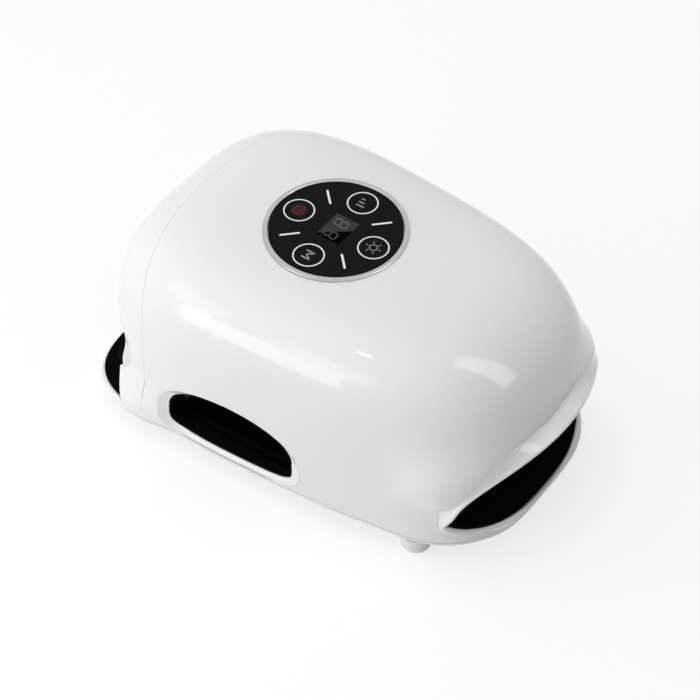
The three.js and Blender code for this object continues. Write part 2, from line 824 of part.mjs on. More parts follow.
function innerFrame() {
  const walls = cutBy(tunnelSolid(0, frameFoot, 0), tunnelSolid(tunnel.wall, frameFoot - overrun, overrun));
  const core = tunnelSolid(tunnel.wall / 2, frameFoot, 0);
  const bosses = footPlaces.map(([x, y]) => {
    const outward = Math.sign(x) * tunnelWrist.half;
    const low = bossTop + fit;
    const high = low + screw.length - screw.headHeight;
    return joined(
      rod(screw.boss, low, high, 16, x, y),
      block(Math.min(x, outward), Math.max(x, outward), y - screw.shank, y + screw.shank, low, high),
    ).intersect(core);
  });
  const bores = footPlaces.map(([x, y]) =>
    joined(
      rod(screw.shank + fit, undersideHeight, crownHeight / 2, 12, x, y),
      rod(screw.boss + fit, undersideHeight, bossTop + fit, 16, x, y),
    ),
  );
  const pads = pillars(crownHeight, fit).map(({ x, y }) =>
    rod(screw.boss, coverScrewSeat, tunnel.deck - tunnel.wall / 2, 16, x, y),
  );
  const standoffs = boardPosts(tunnel.deck - tunnel.wall / 2, tunnel.deck + mainBoard.stand - fit);
  const thumb = prismX(
    turns(thumbTurns).map((turn) => thumbPoint(turn, -fit)),
    tunnel.wall,
    2 * bodyHalfWidth,
  );
  const screwHoles = pillars(crownHeight, fit).map(({ x, y }) =>
    rod(screw.shank + fit, frameFoot, crownHeight, 10, x, y),
  );
  const stemHole = rod(
    stem.radius + fit,
    tunnel.deck - overrun,
    tunnel.deck + overrun,
    16,
    manifoldBlock.x,
    manifoldBlock.y,
  );
  return cutBy(
    joined(walls, ...bosses, ...standoffs, ...pads),
    ...bores,
    thumb,
    mirrored(thumb),
    ...screwHoles,
    stemHole,
  );
}

const coverScrew = ({ x, y }) => {
  const under = coverScrewSeat;
  return joined(
    rod(screw.head, under - screw.headHeight, under, 12, x, y),
    rod(screw.shank, under - fit, under + coverScrewLength, 12, x, y),
  );
};

function boardPosts(from, to) {
  const dx = mainBoard.width / 2 - mainBoard.post;
  const dy = mainBoard.depth / 2 - mainBoard.post;
  return [[dx, dy], [-dx, dy], [dx, -dy], [-dx, -dy]].map(([x, y]) =>
    rod(mainBoard.post, from, to, 12, mainBoard.x + x, mainBoard.y + y),
  );
}

// ---- Linings ----
function mouthLining(side, edge, reach, hole, station, rootMost) {
  const deck = (station.deck ?? tunnel.deck) - tunnel.wall;
  const bottom = hole.bottom + collarWall + fit;
  return ringLoft(
    turns(mouthTurns).map((turn) => {
      const inset = collarWall + 3 * fit;
      const [hx, hz] = mouthPoint(hole, turn, 0);
      const wall = Math.abs(endAt(side, hx, hz));
      const [ox, oz] = mouthPoint(edge, turn, 0);
      const out = Math.max(reachAt(edge, reach, ox, oz), wall + collarProud) - collarWall / 2;
      const neck = wall - collarWall;
      const front = (depth) => {
        const [ax, az] = mouthPoint(edge, turn, -depth);
        const [bx, bz] = mouthPoint(hole, turn, -depth);
        const share = liningStart;
        return new THREE.Vector3(
          ax + (bx - ax) * share,
          side * (out + (neck - out) * share),
          az + (bz - az) * share,
        );
      };
      const [rx, rz] = mouthPoint(hole, turn, -inset);
      const [qx, qz] = mouthPoint(hole, turn, -(inset + liningWall));
      const back = Math.abs(station.place) + fit;
      const root = Math.max(Math.min(wall - collarRoot, rootMost - fit), back + liningWall);
      const endHalf = station.half - tunnel.wall;
      const round = 2 / tunnel.round;
      const lift = Math.max(deck - hole.middle, 0);
      const drop = hole.middle - bottom;
      const backPoint = (less) => [
        (endHalf - less) * power(Math.cos(turn), round),
        hole.middle + ((Math.sin(turn) > 0 ? lift : drop) - less) * power(Math.sin(turn), round),
      ];
      const [bx, bz] = backPoint(0);
      const [cx, cz] = backPoint(liningWall);
      return [
        front(inset),
        new THREE.Vector3(rx, side * neck, rz),
        new THREE.Vector3(rx, side * root, rz),
        new THREE.Vector3(bx, side * back, bz),
        new THREE.Vector3(cx, side * back, cz),
        new THREE.Vector3(qx, side * root, qz),
        new THREE.Vector3(qx, side * neck, qz),
        front(inset + liningWall),
      ];
    }),
  );
}

// The wrist lining with the tongue that covers the lip.
function wristLining() {
  const seat = lipTop + fit;
  const lean = (wristSide.top - wristSide.foot) / (wristSide.high - lipTop);
  const cover = prismZ(lipOutline(tongue.inset), seat, seat + tongue.thickness);
  const front = block(
    -2 * bodyHalfWidth,
    2 * bodyHalfWidth,
    -2 * wristHalfLength,
    -(wristSide.foot + 2 * fit + tongue.thickness * lean),
    0,
    crownHeight,
  );
  return joined(
    mouthLining(-1, wristEdge, wristReach, wristHole, tunnelWrist, wristSide.foot - collarRoot),
    cover.intersect(front),
  );
}

const plateBottom = floorTop + fit;
const plateTop = plateBottom + massagePlate.thickness;
const nodeTop = plateTop + massageNode.height;
const liningBottom = nodeTop + fit;
const liningTop = liningBottom + floorLining.thickness;

function massagePlateSolid() {
  const base = block(
    -massagePlate.halfWidth,
    massagePlate.halfWidth,
    -massagePlate.halfLength,
    massagePlate.halfLength,
    plateBottom,
    plateTop,
  );
  const nodes = [];
  for (let column = 0; column < massageNode.columns; column++) {
    for (let row = 0; row < massageNode.rows; row++) {
      const x = (column - (massageNode.columns - 1) / 2) * massageNode.pitchX;
      const y = (row - (massageNode.rows - 1) / 2) * massageNode.pitchY;
      nodes.push(
        lathe(
          [
            [0, plateTop - massagePlate.thickness / 2],
            [massageNode.radius, plateTop - massagePlate.thickness / 2],
            [massageNode.radius, plateTop + massageNode.height * 0.3],
            [massageNode.radius * 0.75, plateTop + massageNode.height * 0.8],
            [massageNode.radius * 0.35, nodeTop],
            [0, nodeTop],
          ],
          12,
          x,
          y,
        ),
      );
    }
  }
  return joined(base, ...nodes);
}

// The black cloth over the massage plate, turned down at its edges.
function floorLiningSolid() {
  const ring = (inset, z) => [
    [floorLining.halfWidth - inset, floorLining.halfLength - inset],
    [-(floorLining.halfWidth - inset), floorLining.halfLength - inset],
    [-(floorLining.halfWidth - inset), -(floorLining.halfLength - inset)],
    [floorLining.halfWidth - inset, -(floorLining.halfLength - inset)],
  ].map(([x, y]) => new THREE.Vector3(x, y, z));
  const outer = loft(
    [
      ring(0, liningTop - floorLining.skirt),
      ring(0, liningTop - floorLining.thickness),
      ring(floorLining.thickness, liningTop),
    ],
  );
  const t = floorLining.thickness;
  const inner = loft([ring(t, liningTop - floorLining.skirt - overrun), ring(t, liningBottom)]);
  return cutBy(outer, inner);
}

// ---- Over the hand ----
const deckUnder = tunnel.deck - tunnel.wall;
const bagTop = deckUnder - airBag.below;
const bagBottom = bagTop - airBag.thickness;
const pressTop = bagBottom - fit;
const pressBottom = pressTop - pressPlate.thickness;
const filmTop = pressBottom - fit;
const filmBottom = filmTop - heatFilm.thickness;
const cushionTop = filmBottom - fit;
const cushionBottom = cushionTop - cushion.thickness;

// A flat pad with rounded corners and a crown: flat on the side that is fixed, full on the other.
function padSolid(halfWidth, halfLength, middle, fixedZ, crownZ, edge, round) {
  const flat = Math.abs(crownZ - fixedZ);
  const up = Math.sign(crownZ - fixedZ);
  const ring = (shrink, z) =>
    turns(28).map(
      (turn) =>
        new THREE.Vector3(
          halfWidth * shrink * power(Math.cos(turn), 2 / round),
          middle + halfLength * shrink * power(Math.sin(turn), 2 / round),
          z,
        ),
    );
  return loft([
    ring(0.96, fixedZ),
    ring(1, fixedZ + up * edge * 0.35),
    ring(0.985, fixedZ + up * edge * 0.75),
    ring(0.9, fixedZ + up * (edge + (flat - edge) * 0.45)),
    ring(0.66, fixedZ + up * (edge + (flat - edge) * 0.85)),
    ring(0.3, crownZ),
  ]);
}

const upperAirBag = () =>
  padSolid(
    airBag.halfWidth,
    airBag.halfLength,
    cushion.middle,
    bagTop,
    bagBottom,
    airBag.thickness / 2,
    cushion.round,
  );
const pressPlateSolid = () =>
  block(
    -pressPlate.halfWidth,
    pressPlate.halfWidth,
    cushion.middle - pressPlate.halfLength,
    cushion.middle + pressPlate.halfLength,
    pressBottom,
    pressTop,
  );
const heatFilmSolid = () =>
  block(
    -heatFilm.halfWidth,
    heatFilm.halfWidth,
    cushion.middle - heatFilm.halfLength,
    cushion.middle + heatFilm.halfLength,
    filmBottom,
    filmTop,
  );
const cushionSolid = () =>
  padSolid(
    cushion.halfWidth,
    cushion.halfLength,
    cushion.middle,
    cushionTop,
    cushionBottom,
    cushion.edge,
    cushion.round,
  );

// ---- Works on the deck ----
const worksBase = tunnel.deck + fit;
const cellZ = worksBase + holder.floor + fit + cell.radius;

const cellSolid = (x) =>
  rodY(cell.radius, cell.middle - cell.length / 2, cell.middle + cell.length / 2, 20, x, cellZ);

function batteryHolder() {
  const half = cell.length / 2 + fit;
  const left = Math.min(...cell.places) - cell.radius - fit - holder.wall;
  const right = Math.max(...cell.places) + cell.radius + fit + holder.wall;
  const y0 = cell.middle - half - holder.wall;
  const y1 = cell.middle + half + holder.wall;
  const tub = block(left, right, y0, y1, worksBase, worksBase + holder.wallHeight);
  const hollow = block(
    left + holder.wall,
    right - holder.wall,
    y0 + holder.wall,
    y1 - holder.wall,
    worksBase + holder.floor,
    worksBase + holder.wallHeight + overrun,
  );
  return cutBy(tub, hollow);
}

const mainBoardBottom = tunnel.deck + mainBoard.stand;
function mainBoardSolid() {
  const top = mainBoardBottom + boardThickness;
  const { x, y, width, depth } = mainBoard;
  const plate = block(x - width / 2, x + width / 2, y - depth / 2, y + depth / 2, mainBoardBottom, top);
  const seat = top - boardThickness / 2;
  const chips = block(
    x - chip.width / 2,
    x + chip.width / 2,
    y - chip.depth / 2,
    y + chip.depth / 2,
    seat,
    top + chip.height,
  );
  const cans = [-1, 1].map((s) =>
    rod(
      capacitor.radius,
      seat,
      top + capacitor.height,
      16,
      x + (s * width) / 3,
      y - depth / 2 + 2 * capacitor.radius,
    ),
  );
  return joined(plate, chips, ...cans);
}

const motorZ = worksBase + cradle.wall + fit + pumpHead.radius;
const motorEnd = motor.start + motor.length;

function pumpMotor() {
  const can = rodY(motor.radius, motor.start, motorEnd, 28, motor.x, motorZ);
  return cutBy(
    can,
    rodY(crank.shaft + running, motorEnd - crank.bearing - fit, motorEnd + overrun, 12, motor.x, motorZ),
  );
}

function pumpHeadSolid() {
  const start = motorEnd + fit;
  const end = start + pumpHead.length;
  const cup = rodY(pumpHead.radius, start, end, 28, motor.x, motorZ);
  const hollow = rodY(
    pumpHead.radius - pumpHead.wall,
    start - overrun,
    start + pumpHead.chamber,
    28,
    motor.x,
    motorZ,
  );
  const spout = rodX(
    nozzle.radius,
    motor.x,
    motor.x + pumpHead.radius + nozzle.length,
    12,
    nozzleY,
    motorZ,
  );
  return joined(cutBy(cup, hollow), spout);
}
const nozzleY = motorEnd + fit + (pumpHead.chamber + pumpHead.length) / 2;

function pumpCrank() {
  const discStart = motorEnd + 2 * fit + crank.discThickness / 2;
  const discEnd = discStart + crank.discThickness;
  return joined(
    rodY(crank.shaft, motorEnd - crank.bearing, discStart + crank.discThickness / 2, 12, motor.x, motorZ),
    rodY(crank.disc, discStart, discEnd, 24, motor.x, motorZ),
    rodY(
      crank.pin,
      discEnd - crank.discThickness / 2,
      discEnd + crank.pinLength,
      10,
      motor.x,
      motorZ - crank.pinOffset,
    ),
  );
}

function pumpCradle() {
  const y = motor.start + motor.length / 2;
  const reach = motor.radius + cradle.wall;
  const base = block(
    motor.x - reach,
    motor.x + reach,
    y - cradle.width / 2,
    y + cradle.width / 2,
    worksBase,
    motorZ,
  );
  return cutBy(base, rodY(motor.radius + fit, y - cradle.width, y + cradle.width, 28, motor.x, motorZ));
}

const valveTop = worksBase + valve.height;
function valveBody(x) {
  const side = valve.side / 2;
  return cutBy(
    block(x - side, x + side, valve.y - side, valve.y + side, worksBase, valveTop),
    rod(valve.plunger + running, valveTop - valve.sink - fit, valveTop + overrun, 16, x, valve.y),
  );
}
const valvePlunger = (x) =>
  joined(
    rod(valve.plunger, valveTop - valve.sink, valveTop + fit + valve.headHeight / 2, 16, x, valve.y),
    rod(valve.head, valveTop + fit, valveTop + fit + valve.headHeight, 16, x, valve.y),
  );

function airManifold() {
  const { x, y, width, depth, height } = manifoldBlock;
  const body = block(
    x - width / 2,
    x + width / 2,
    y - depth / 2,
    y + depth / 2,
    worksBase,
    worksBase + height,
  );
  const spout = rodX(nozzle.radius, x, x + width / 2 + nozzle.length, 12, y, worksBase + tube.low);
  const down = rod(stem.radius, bagTop + stem.margin, worksBase + fit, 16, x, y);
  return joined(body, spout, down);
}

// The tube from the pump's nozzle to the manifold's.
function airTube() {
  const start = motor.x + pumpHead.radius + nozzle.length + fit;
  const end = manifoldBlock.x + manifoldBlock.width / 2 + nozzle.length + fit;
  const low = worksBase + tube.low;
  const drop = motorZ - low;
  const run = nozzleY - manifoldBlock.y;
  const route = new THREE.CatmullRomCurve3([
    new THREE.Vector3(start, nozzleY, motorZ),
    new THREE.Vector3((start + tube.lane) / 2, nozzleY, motorZ),
    new THREE.Vector3(tube.lane, nozzleY - 0.06 * run, motorZ - 0.12 * drop),
    new THREE.Vector3(tube.lane, nozzleY - 0.2 * run, motorZ - 0.6 * drop),
    new THREE.Vector3(tube.lane, nozzleY - 0.36 * run, low),
    new THREE.Vector3(tube.lane, nozzleY - 0.7 * run, low),
    new THREE.Vector3(tube.lane, nozzleY - 0.9 * run, low),
    new THREE.Vector3((end + tube.lane) / 2, manifoldBlock.y, low),
    new THREE.Vector3(end, manifoldBlock.y, low),
  ]);
  const round = (turn) => new THREE.Vector2(Math.cos(turn), Math.sin(turn));
  const section = new THREE.Shape(turns(8).map((turn) => round(turn).multiplyScalar(tube.radius)));
  return solidOf(
    new THREE.ExtrudeGeometry(section, { steps: 28, extrudePath: route, bevelEnabled: false }),
  );
}

function chargingSocket() {
  const w = socket.width / 2;
  const h = socket.height / 2;
  const y0 = socketWallY;
  const y1 = socketWallY + socket.depth;
  const shell = block(-w, w, y0, y1, socketZ - h, socketZ + h);
  const mouth = block(
    -w + socket.wall,
    w - socket.wall,
    y0 - overrun,
    y1 - socket.wall,
    socketZ - h + socket.wall,
    socketZ + h - socket.wall,
  );
  const tongue = block(
    -socket.tongueWidth / 2,
    socket.tongueWidth / 2,
    y0 + socket.wall,
    y1,
    socketZ - socket.tongue / 2,
    socketZ + socket.tongue / 2,
  );
  return joined(cutBy(shell, mouth), tongue);
}
const chargeBoardSolid = () =>
  block(
    -chargeBoard.width / 2,
    chargeBoard.width / 2,
    socketWallY + coverWall + 3 * fit,
    socketWallY + coverWall + chargeBoard.depth,
    chargeBoardBottom + fit,
    chargeBoardTop,
  );

// ---- Assembly ----
const massager = new THREE.Group();
const centring = (wristLip.length - fingerReach.visor) / 2;
function add(name, solid, material) {
  const mesh = new THREE.Mesh(geometryOf(solid.translate([0, centring, 0])), material);
  mesh.name = name;
  massager.add(mesh);
}

add("top_cover", topCover(), shellWhite);
add("wrist_collar", wristCollar(), shellWhite);
add("finger_collar", fingerCollar(), shellWhite);
add("bottom_cover", bottomCover(), trimWhite);
add("thumb_trim_right", thumbTrim(), trimWhite);
add("thumb_trim_left", mirrored(thumbTrim()), trimWhite);
add("thumb_sleeve_right", thumbSleeve(), liningBlack);
add("thumb_sleeve_left", mirrored(thumbSleeve()), liningBlack);
footPlaces.forEach((place, i) => {
  add(`foot_${i + 1}`, footSolid(place), footRubber);
  add(`case_screw_${i + 1}`, caseScrew(place), steel);
});
add("panel_bezel", panelBezel(), bezelSilver);
add("panel_lens", panelLens(), lensBlack);
add("touch_board", touchBoard(), boardGreen);
add("display_module", displayModule(), plasticWhite);
turns(4).forEach((turn, i) => add(`touch_spring_${i + 1}`, touchSpringSolid(turn), steel));
add("inner_frame", innerFrame(), frameBlack);
pillars(crownHeight, fit).forEach((place, i) => add(`cover_screw_${i + 1}`, coverScrew(place), steel));
add("wrist_lining", wristLining(), liningBlack);
add(
  "finger_lining",
  mouthLining(1, fingerEdge, fingerReach, fingerHole, tunnelFinger, fingerHalfLength),
  liningBlack,
);
add("massage_plate", massagePlateSolid(), frameBlack);
add("floor_lining", floorLiningSolid(), liningBlack);
add("upper_air_bag", upperAirBag(), bagGrey);
add("press_plate", pressPlateSolid(), plasticWhite);
add("heating_film", heatFilmSolid(), filmAmber);
add("upper_cushion", cushionSolid(), liningBlack);
cell.places.forEach((x, i) => add(`battery_cell_${i + 1}`, cellSolid(x), cellBlue));
add("battery_holder", batteryHolder(), frameBlack);
add("main_board", mainBoardSolid(), boardGreen);
add("pump_motor", pumpMotor(), steel);
add("pump_head", pumpHeadSolid(), plasticWhite);
add("pump_crank", pumpCrank(), steel);
add("pump_cradle", pumpCradle(), rubberGrey);
valvePlaces.forEach((x, i) => {
  add(`valve_body_${i + 1}`, valveBody(x), plasticWhite);
  add(`valve_plunger_${i + 1}`, valvePlunger(x), steel);
});
add("air_manifold", airManifold(), plasticWhite);
add("air_tube", airTube(), tubeClear);
add("charging_socket", chargingSocket(), steel);
add("charging_board", chargeBoardSolid(), boardGreen);

export default massager;
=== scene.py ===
# A desk-top air-compression hand massager: a glossy white dome on four feet, open at the wrist
# end and at the finger end, with a thumb slot in each side and a round touch panel on the crown.
import math

import bmesh
import bpy
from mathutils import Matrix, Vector


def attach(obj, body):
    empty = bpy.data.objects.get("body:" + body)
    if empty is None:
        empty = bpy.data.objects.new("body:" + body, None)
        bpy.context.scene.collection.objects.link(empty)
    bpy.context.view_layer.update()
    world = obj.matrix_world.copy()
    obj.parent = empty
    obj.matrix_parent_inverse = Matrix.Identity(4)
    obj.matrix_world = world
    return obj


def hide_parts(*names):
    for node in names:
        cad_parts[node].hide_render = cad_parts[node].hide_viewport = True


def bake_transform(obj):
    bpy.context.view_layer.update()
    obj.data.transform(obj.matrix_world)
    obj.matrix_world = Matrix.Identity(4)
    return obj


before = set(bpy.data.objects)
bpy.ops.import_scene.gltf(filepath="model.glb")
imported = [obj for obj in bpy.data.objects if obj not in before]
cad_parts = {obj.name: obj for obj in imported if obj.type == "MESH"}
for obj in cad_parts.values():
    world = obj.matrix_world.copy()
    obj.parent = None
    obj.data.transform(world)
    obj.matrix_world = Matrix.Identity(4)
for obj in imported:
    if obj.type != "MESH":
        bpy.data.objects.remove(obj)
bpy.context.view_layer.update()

# The camera stands above the user's right, towards the finger end, and looks down at the dome.
# The photograph shows no cord, so the massager has none: it runs on its two cells.
camera_data = bpy.data.cameras.new("photo_view")
camera_data.lens = 108.51
camera_data.sensor_width = 36
camera_data.clip_start = 0.05
camera_data.clip_end = 30
camera = bpy.data.objects.new("photo_view", camera_data)
bpy.context.scene.collection.objects.link(camera)
camera.location = (0.5204, 0.37195, 0.7318)
aim = Vector((0.02683, 0.01484, 0.06931)) - camera.location
camera.rotation_euler = aim.to_track_quat("-Z", "Y").to_euler()
bpy.context.scene.camera = camera

# The studio: a white table top and surroundings that look white to the camera, soft boxes overhead
# and at the wrist end, three small ones on the user's right, a strip lamp and a small spot.
bpy.context.scene.view_settings.view_transform = "Standard"


def emptied(owner):
    owner.use_nodes = True
    owner.node_tree.nodes.clear()
    return owner.node_tree


def node(tree, kind, inputs=None, **settings):
    """A shader node. Each of its inputs is a constant or the socket that feeds it."""
    made = tree.nodes.new("ShaderNode" + kind)
    for key, value in settings.items():
        setattr(made, key, value)
    for socket, value in (inputs or {}).items():
        if isinstance(value, bpy.types.NodeSocket):
            tree.links.new(value, made.inputs[socket])
        else:
            made.inputs[socket].default_value = value
    return made


def reckoned(tree, operation, first, second):
    return node(tree, "Math", {0: first, 1: second}, operation=operation).outputs[0]


def either(tree, share, first, second):
    """The first shader, or the second one where share is one."""
    inputs = {"Fac": share, 1: first.outputs[0], 2: second.outputs[0]}
    return node(tree, "MixShader", inputs).outputs[0]


studio = bpy.data.worlds.new("studio")
bpy.context.scene.world = studio
tree = emptied(studio)
rays = node(tree, "LightPath").outputs
seen = reckoned(tree, "MAXIMUM", rays["Is Camera Ray"], rays["Is Glossy Ray"])
seen_through = reckoned(tree, "MAXIMUM", seen, rays["Is Transmission Ray"])
parts = node(tree, "SeparateXYZ", {0: node(tree, "TexCoord").outputs["Generated"]}).outputs
dimming = {"Value": parts["Y"], "From Min": -1, "From Max": 1, "To Min": 0.6, "To Max": 0.28}
walls = node(tree, "MapRange", dimming).outputs["Result"]
lighting = node(tree, "Background", {"Color": (0.99, 0.99, 1, 1), "Strength": walls})
surroundings = node(tree, "Background", {"Color": (0.985, 0.985, 0.985, 1), "Strength": 1})
node(tree, "OutputWorld", {"Surface": either(tree, seen_through, lighting, surroundings)})


def soft_box(name, place, towards, width, height, brightness):
    box = bpy.data.lights.new(name, "AREA")
    box.shape = "RECTANGLE"
    box.size = width
    box.size_y = height
    box.energy = brightness * math.pi * width * height
    lamp = bpy.data.objects.new(name, box)
    bpy.context.scene.collection.objects.link(lamp)
    lamp.location = place
    turned = (Vector(towards) - Vector(place)).to_track_quat("-Z", "Y")
    lamp.rotation_euler = turned.to_euler()
    return lamp


MIDDLE = (0, 0, 0.06)
overhead = soft_box("overhead_soft_box", (0.1, -0.1, 1.5), (0, 0, 0.1), 0.9, 0.9, 2.9)
overhead.visible_glossy = False
wrist_box = soft_box("wrist_soft_box", (0.6, -1.1, 0.6), MIDDLE, 0.9, 0.9, 1)
wrist_box.visible_glossy = False
soft_box("high_right_box", (0.53, -0.42, 0.35), MIDDLE, 0.28, 0.24, 1.3)
soft_box("low_right_box", (0.7, -0.28, 0.13), MIDDLE, 0.4, 0.26, 2.7)
soft_box("near_right_box", (0.66, -0.1, 0.34), MIDDLE, 0.24, 0.22, 1.5)
strip_lamp = soft_box("strip_lamp", (-0.29, 0.67, 0.8), (0.02, 0.08, 0.09), 0.27, 1.1, 2.8)
strip_lamp.rotation_euler.rotate_axis("Z", math.radians(-10.5))
strip_lamp.visible_diffuse = False
soft_box("spot_lamp", (0.5, -0.2, 1.15), (0, 0, 0.1), 0.04, 0.04, 60)

bpy.ops.mesh.primitive_plane_add(size=8, location=(0, 0, -0.0002))
table_top = bpy.context.active_object
table_top.name = "table_top"
table_white = bpy.data.materials.new("table_white")
tree = emptied(table_white)
rays = node(tree, "LightPath").outputs
seen = reckoned(tree, "MAXIMUM", rays["Is Camera Ray"], rays["Is Glossy Ray"])
bounce = node(tree, "BsdfDiffuse", {"Color": (0.8, 0.8, 0.8, 1)})
shaded = node(tree, "BsdfDiffuse", {"Color": (0.3, 0.3, 0.3, 1)})
glow = node(tree, "Emission", {"Color": (1, 1, 1, 1), "Strength": 0.72})
lit = node(tree, "AddShader", {0: shaded.outputs[0], 1: glow.outputs[0]})
node(tree, "OutputMaterial", {"Surface": either(tree, seen, bounce, lit)})
table_top.data.materials.append(table_white)

# The dome: one injection-moulded cover in glossy off-white, 2.6 mm thick, a rounded box that
# narrows towards the fingers. Its posts come down to the deck, where four screws hold it.
HALF_WIDTH = 68
FINGER_HALF = 99.5
WRIST_HALF = 108.5
CROWN = 104.5
WIDEST = 11.7
PARTING = 13
WALL = 2.6
TAPER = 0.136
PLAN_ROUND = 3.17
RISE_ROUND = 4.8
GAP = 0.3
FINGER_HOLE = {"half": 53.5, "middle": 30, "top": 59.5, "bottom": 10.8, "round": (2, 4)}
FINGER_SEAM = {"least": 0.5, "most": 9, "from": 2, "to": 86}
SEAM = 0.1
WRIST_HOLE = {"half": 64, "middle": 38, "top": 66, "bottom": 10.8, "round": (2.3, 4)}
THUMB_SLOT = {"half": 32.95, "middle": 27, "top": 46, "bottom": 15, "round": (2, 5.4)}
THUMB_PLACE = -23.6
THUMB_LEAN = 0.13
DISH = {"ends": 5.6, "above": 2.6, "below": 4, "depth": 2.2, "bottom_round": 3.2}
PANEL_PLACE = -14
HALVES_MEET = 2.05


def placed(x, y, z):
    """Millimetres from where the dome's two half lengths meet, as metres in the model."""
    return Vector((x, y + HALVES_MEET, z)) * 0.001


def power(value, exponent):
    return math.copysign(abs(value) ** exponent, value)


def eased(t):
    s = min(1, max(0, t))
    return s * s * (3 - 2 * s)


def narrowing(z):
    rise = min(1, max(0, (z - WIDEST) / (CROWN - WIDEST)))
    return (1 - rise**RISE_ROUND) ** (1 / RISE_ROUND)


def flare_of(y, z):
    """How far the walls stand out of the plain rounded box near the two mouths."""
    amount, begin, end, low, high = (3.6, 44, 82, 48, 88) if y > 0 else (8.3, 46, 84, 13, 36)
    flare = amount * eased((abs(y) - begin) / (end - begin)) * (1 - eased((z - low) / (high - low)))
    swell = 7 * eased((y - 55) / 35) * eased((z - 30) / 16) * (1 - eased((z - 50) / 24))
    return flare + swell


def plan_point(turn, shrink, inset, z):
    half_length = (FINGER_HALF if math.sin(turn) > 0 else WRIST_HALF) - inset
    y = half_length * shrink * power(math.sin(turn), 2 / PLAN_ROUND)
    x = (HALF_WIDTH - inset) * shrink * power(math.cos(turn), 2 / PLAN_ROUND)
    bare = x * (1 - TAPER * y / WRIST_HALF)
    return placed(bare + math.copysign(flare_of(y, z) * eased(abs(bare) / 28), bare), y, z)


def end_at(side, x, z):
    shrink = narrowing(z)
    half_length = (FINGER_HALF if side > 0 else WRIST_HALF) * shrink
    y = 0.8 * side * half_length
    for _ in range(14):
        half_width = HALF_WIDTH * shrink * (1 - TAPER * y / WRIST_HALF)
        spread = flare_of(y, z) * eased(abs(x) / 28)
        across = min(0.995, abs(abs(x) - spread) / half_width)
        y = side * half_length * (1 - across**PLAN_ROUND) ** (1 / PLAN_ROUND)
    return y


def side_at(y, z):
    shrink = narrowing(z)
    along = min(0.995, abs(y) / ((FINGER_HALF if y > 0 else WRIST_HALF) * shrink))
    bare = HALF_WIDTH * shrink * (1 - along**PLAN_ROUND) ** (1 / PLAN_ROUND)
    return bare * (1 - TAPER * y / WRIST_HALF) + flare_of(y, z)


def evenly(path, count, closed):
    """The turns at which points come at even distances along path(turn)."""
    span = 2 * math.pi if closed else 1
    steps = [span * i / 6000 for i in range(6001)]
    points = [path(step) for step in steps]
    lengths = [0]
    for before, after in zip(points, points[1:]):
        lengths.append(lengths[-1] + (after - before).length)
    wanted = [lengths[-1] * i / (count if closed else count - 1) for i in range(count)]
    chosen = []
    k = 0
    for length in wanted:
        while k < 5999 and lengths[k + 1] < length:
            k += 1
        share = (length - lengths[k]) / max(lengths[k + 1] - lengths[k], 1e-12)
        chosen.append(steps[k] + share * (steps[k + 1] - steps[k]))
    return chosen


def spaced(point, count):
    """The same for an outline that is closed and flat."""
    return evenly(lambda turn: Vector((*point(turn), 0)), count, True)


def mouth_point(hole, turn, grow=0):
    upper = math.sin(turn) > 0
    rounded = 2 / hole["round"][0 if upper else 1]
    height = (hole["top"] - hole["middle"] if upper else hole["middle"] - hole["bottom"]) + grow
    x = (hole["half"] + grow) * power(math.cos(turn), rounded)
    return x, hole["middle"] + height * power(math.sin(turn), rounded)


def seam_point(turn, grow=0):
    """The finger collar's joint, which swings out round the mouth's upper corners."""
    rise = math.degrees(math.asin(math.sin(turn)))
    share = (rise - FINGER_SEAM["from"]) / (FINGER_SEAM["to"] - FINGER_SEAM["from"])
    swing = math.sin(math.pi * min(1, max(0, share))) ** 1.2
    grow += FINGER_SEAM["least"] + (FINGER_SEAM["most"] - FINGER_SEAM["least"]) * swing
    return mouth_point(FINGER_HOLE, turn, grow)


def thumb_point(turn, grow=0, share=0):
    """A point of the thumb slot (share 0), of its dish's edge (1), or of a line between them."""
    corner = THUMB_SLOT["round"][1]
    outline = {
        "half": THUMB_SLOT["half"] + share * DISH["ends"],
        "middle": THUMB_SLOT["middle"],
        "top": THUMB_SLOT["top"] + share * DISH["above"],
        "bottom": THUMB_SLOT["bottom"] - share * DISH["below"],
        "round": (2, corner + share * (DISH["bottom_round"] - corner)),
    }
    y, z = mouth_point(outline, turn, grow)
    return THUMB_PLACE + y + THUMB_LEAN * max(0, z - THUMB_SLOT["middle"]), z


def only(piece):
    bpy.ops.object.select_all(action="DESELECT")
    piece.select_set(True)
    bpy.context.view_layer.objects.active = piece


def edited(piece):
    only(piece)
    bpy.ops.object.mode_set(mode="EDIT")


def faced_out():
    """Every face turned outwards, and back to object mode."""
    bpy.ops.mesh.select_all(action="SELECT")
    bpy.ops.mesh.normals_make_consistent(inside=False)
    bpy.ops.object.mode_set(mode="OBJECT")


def joined(first, *others):
    only(first)
    for other in others:
        other.select_set(True)
    bpy.ops.object.join()


def named(name):
    """The object in hand, called name, and its mesh too."""
    piece = bpy.context.active_object
    piece.name = name
    piece.data.name = name
    return piece


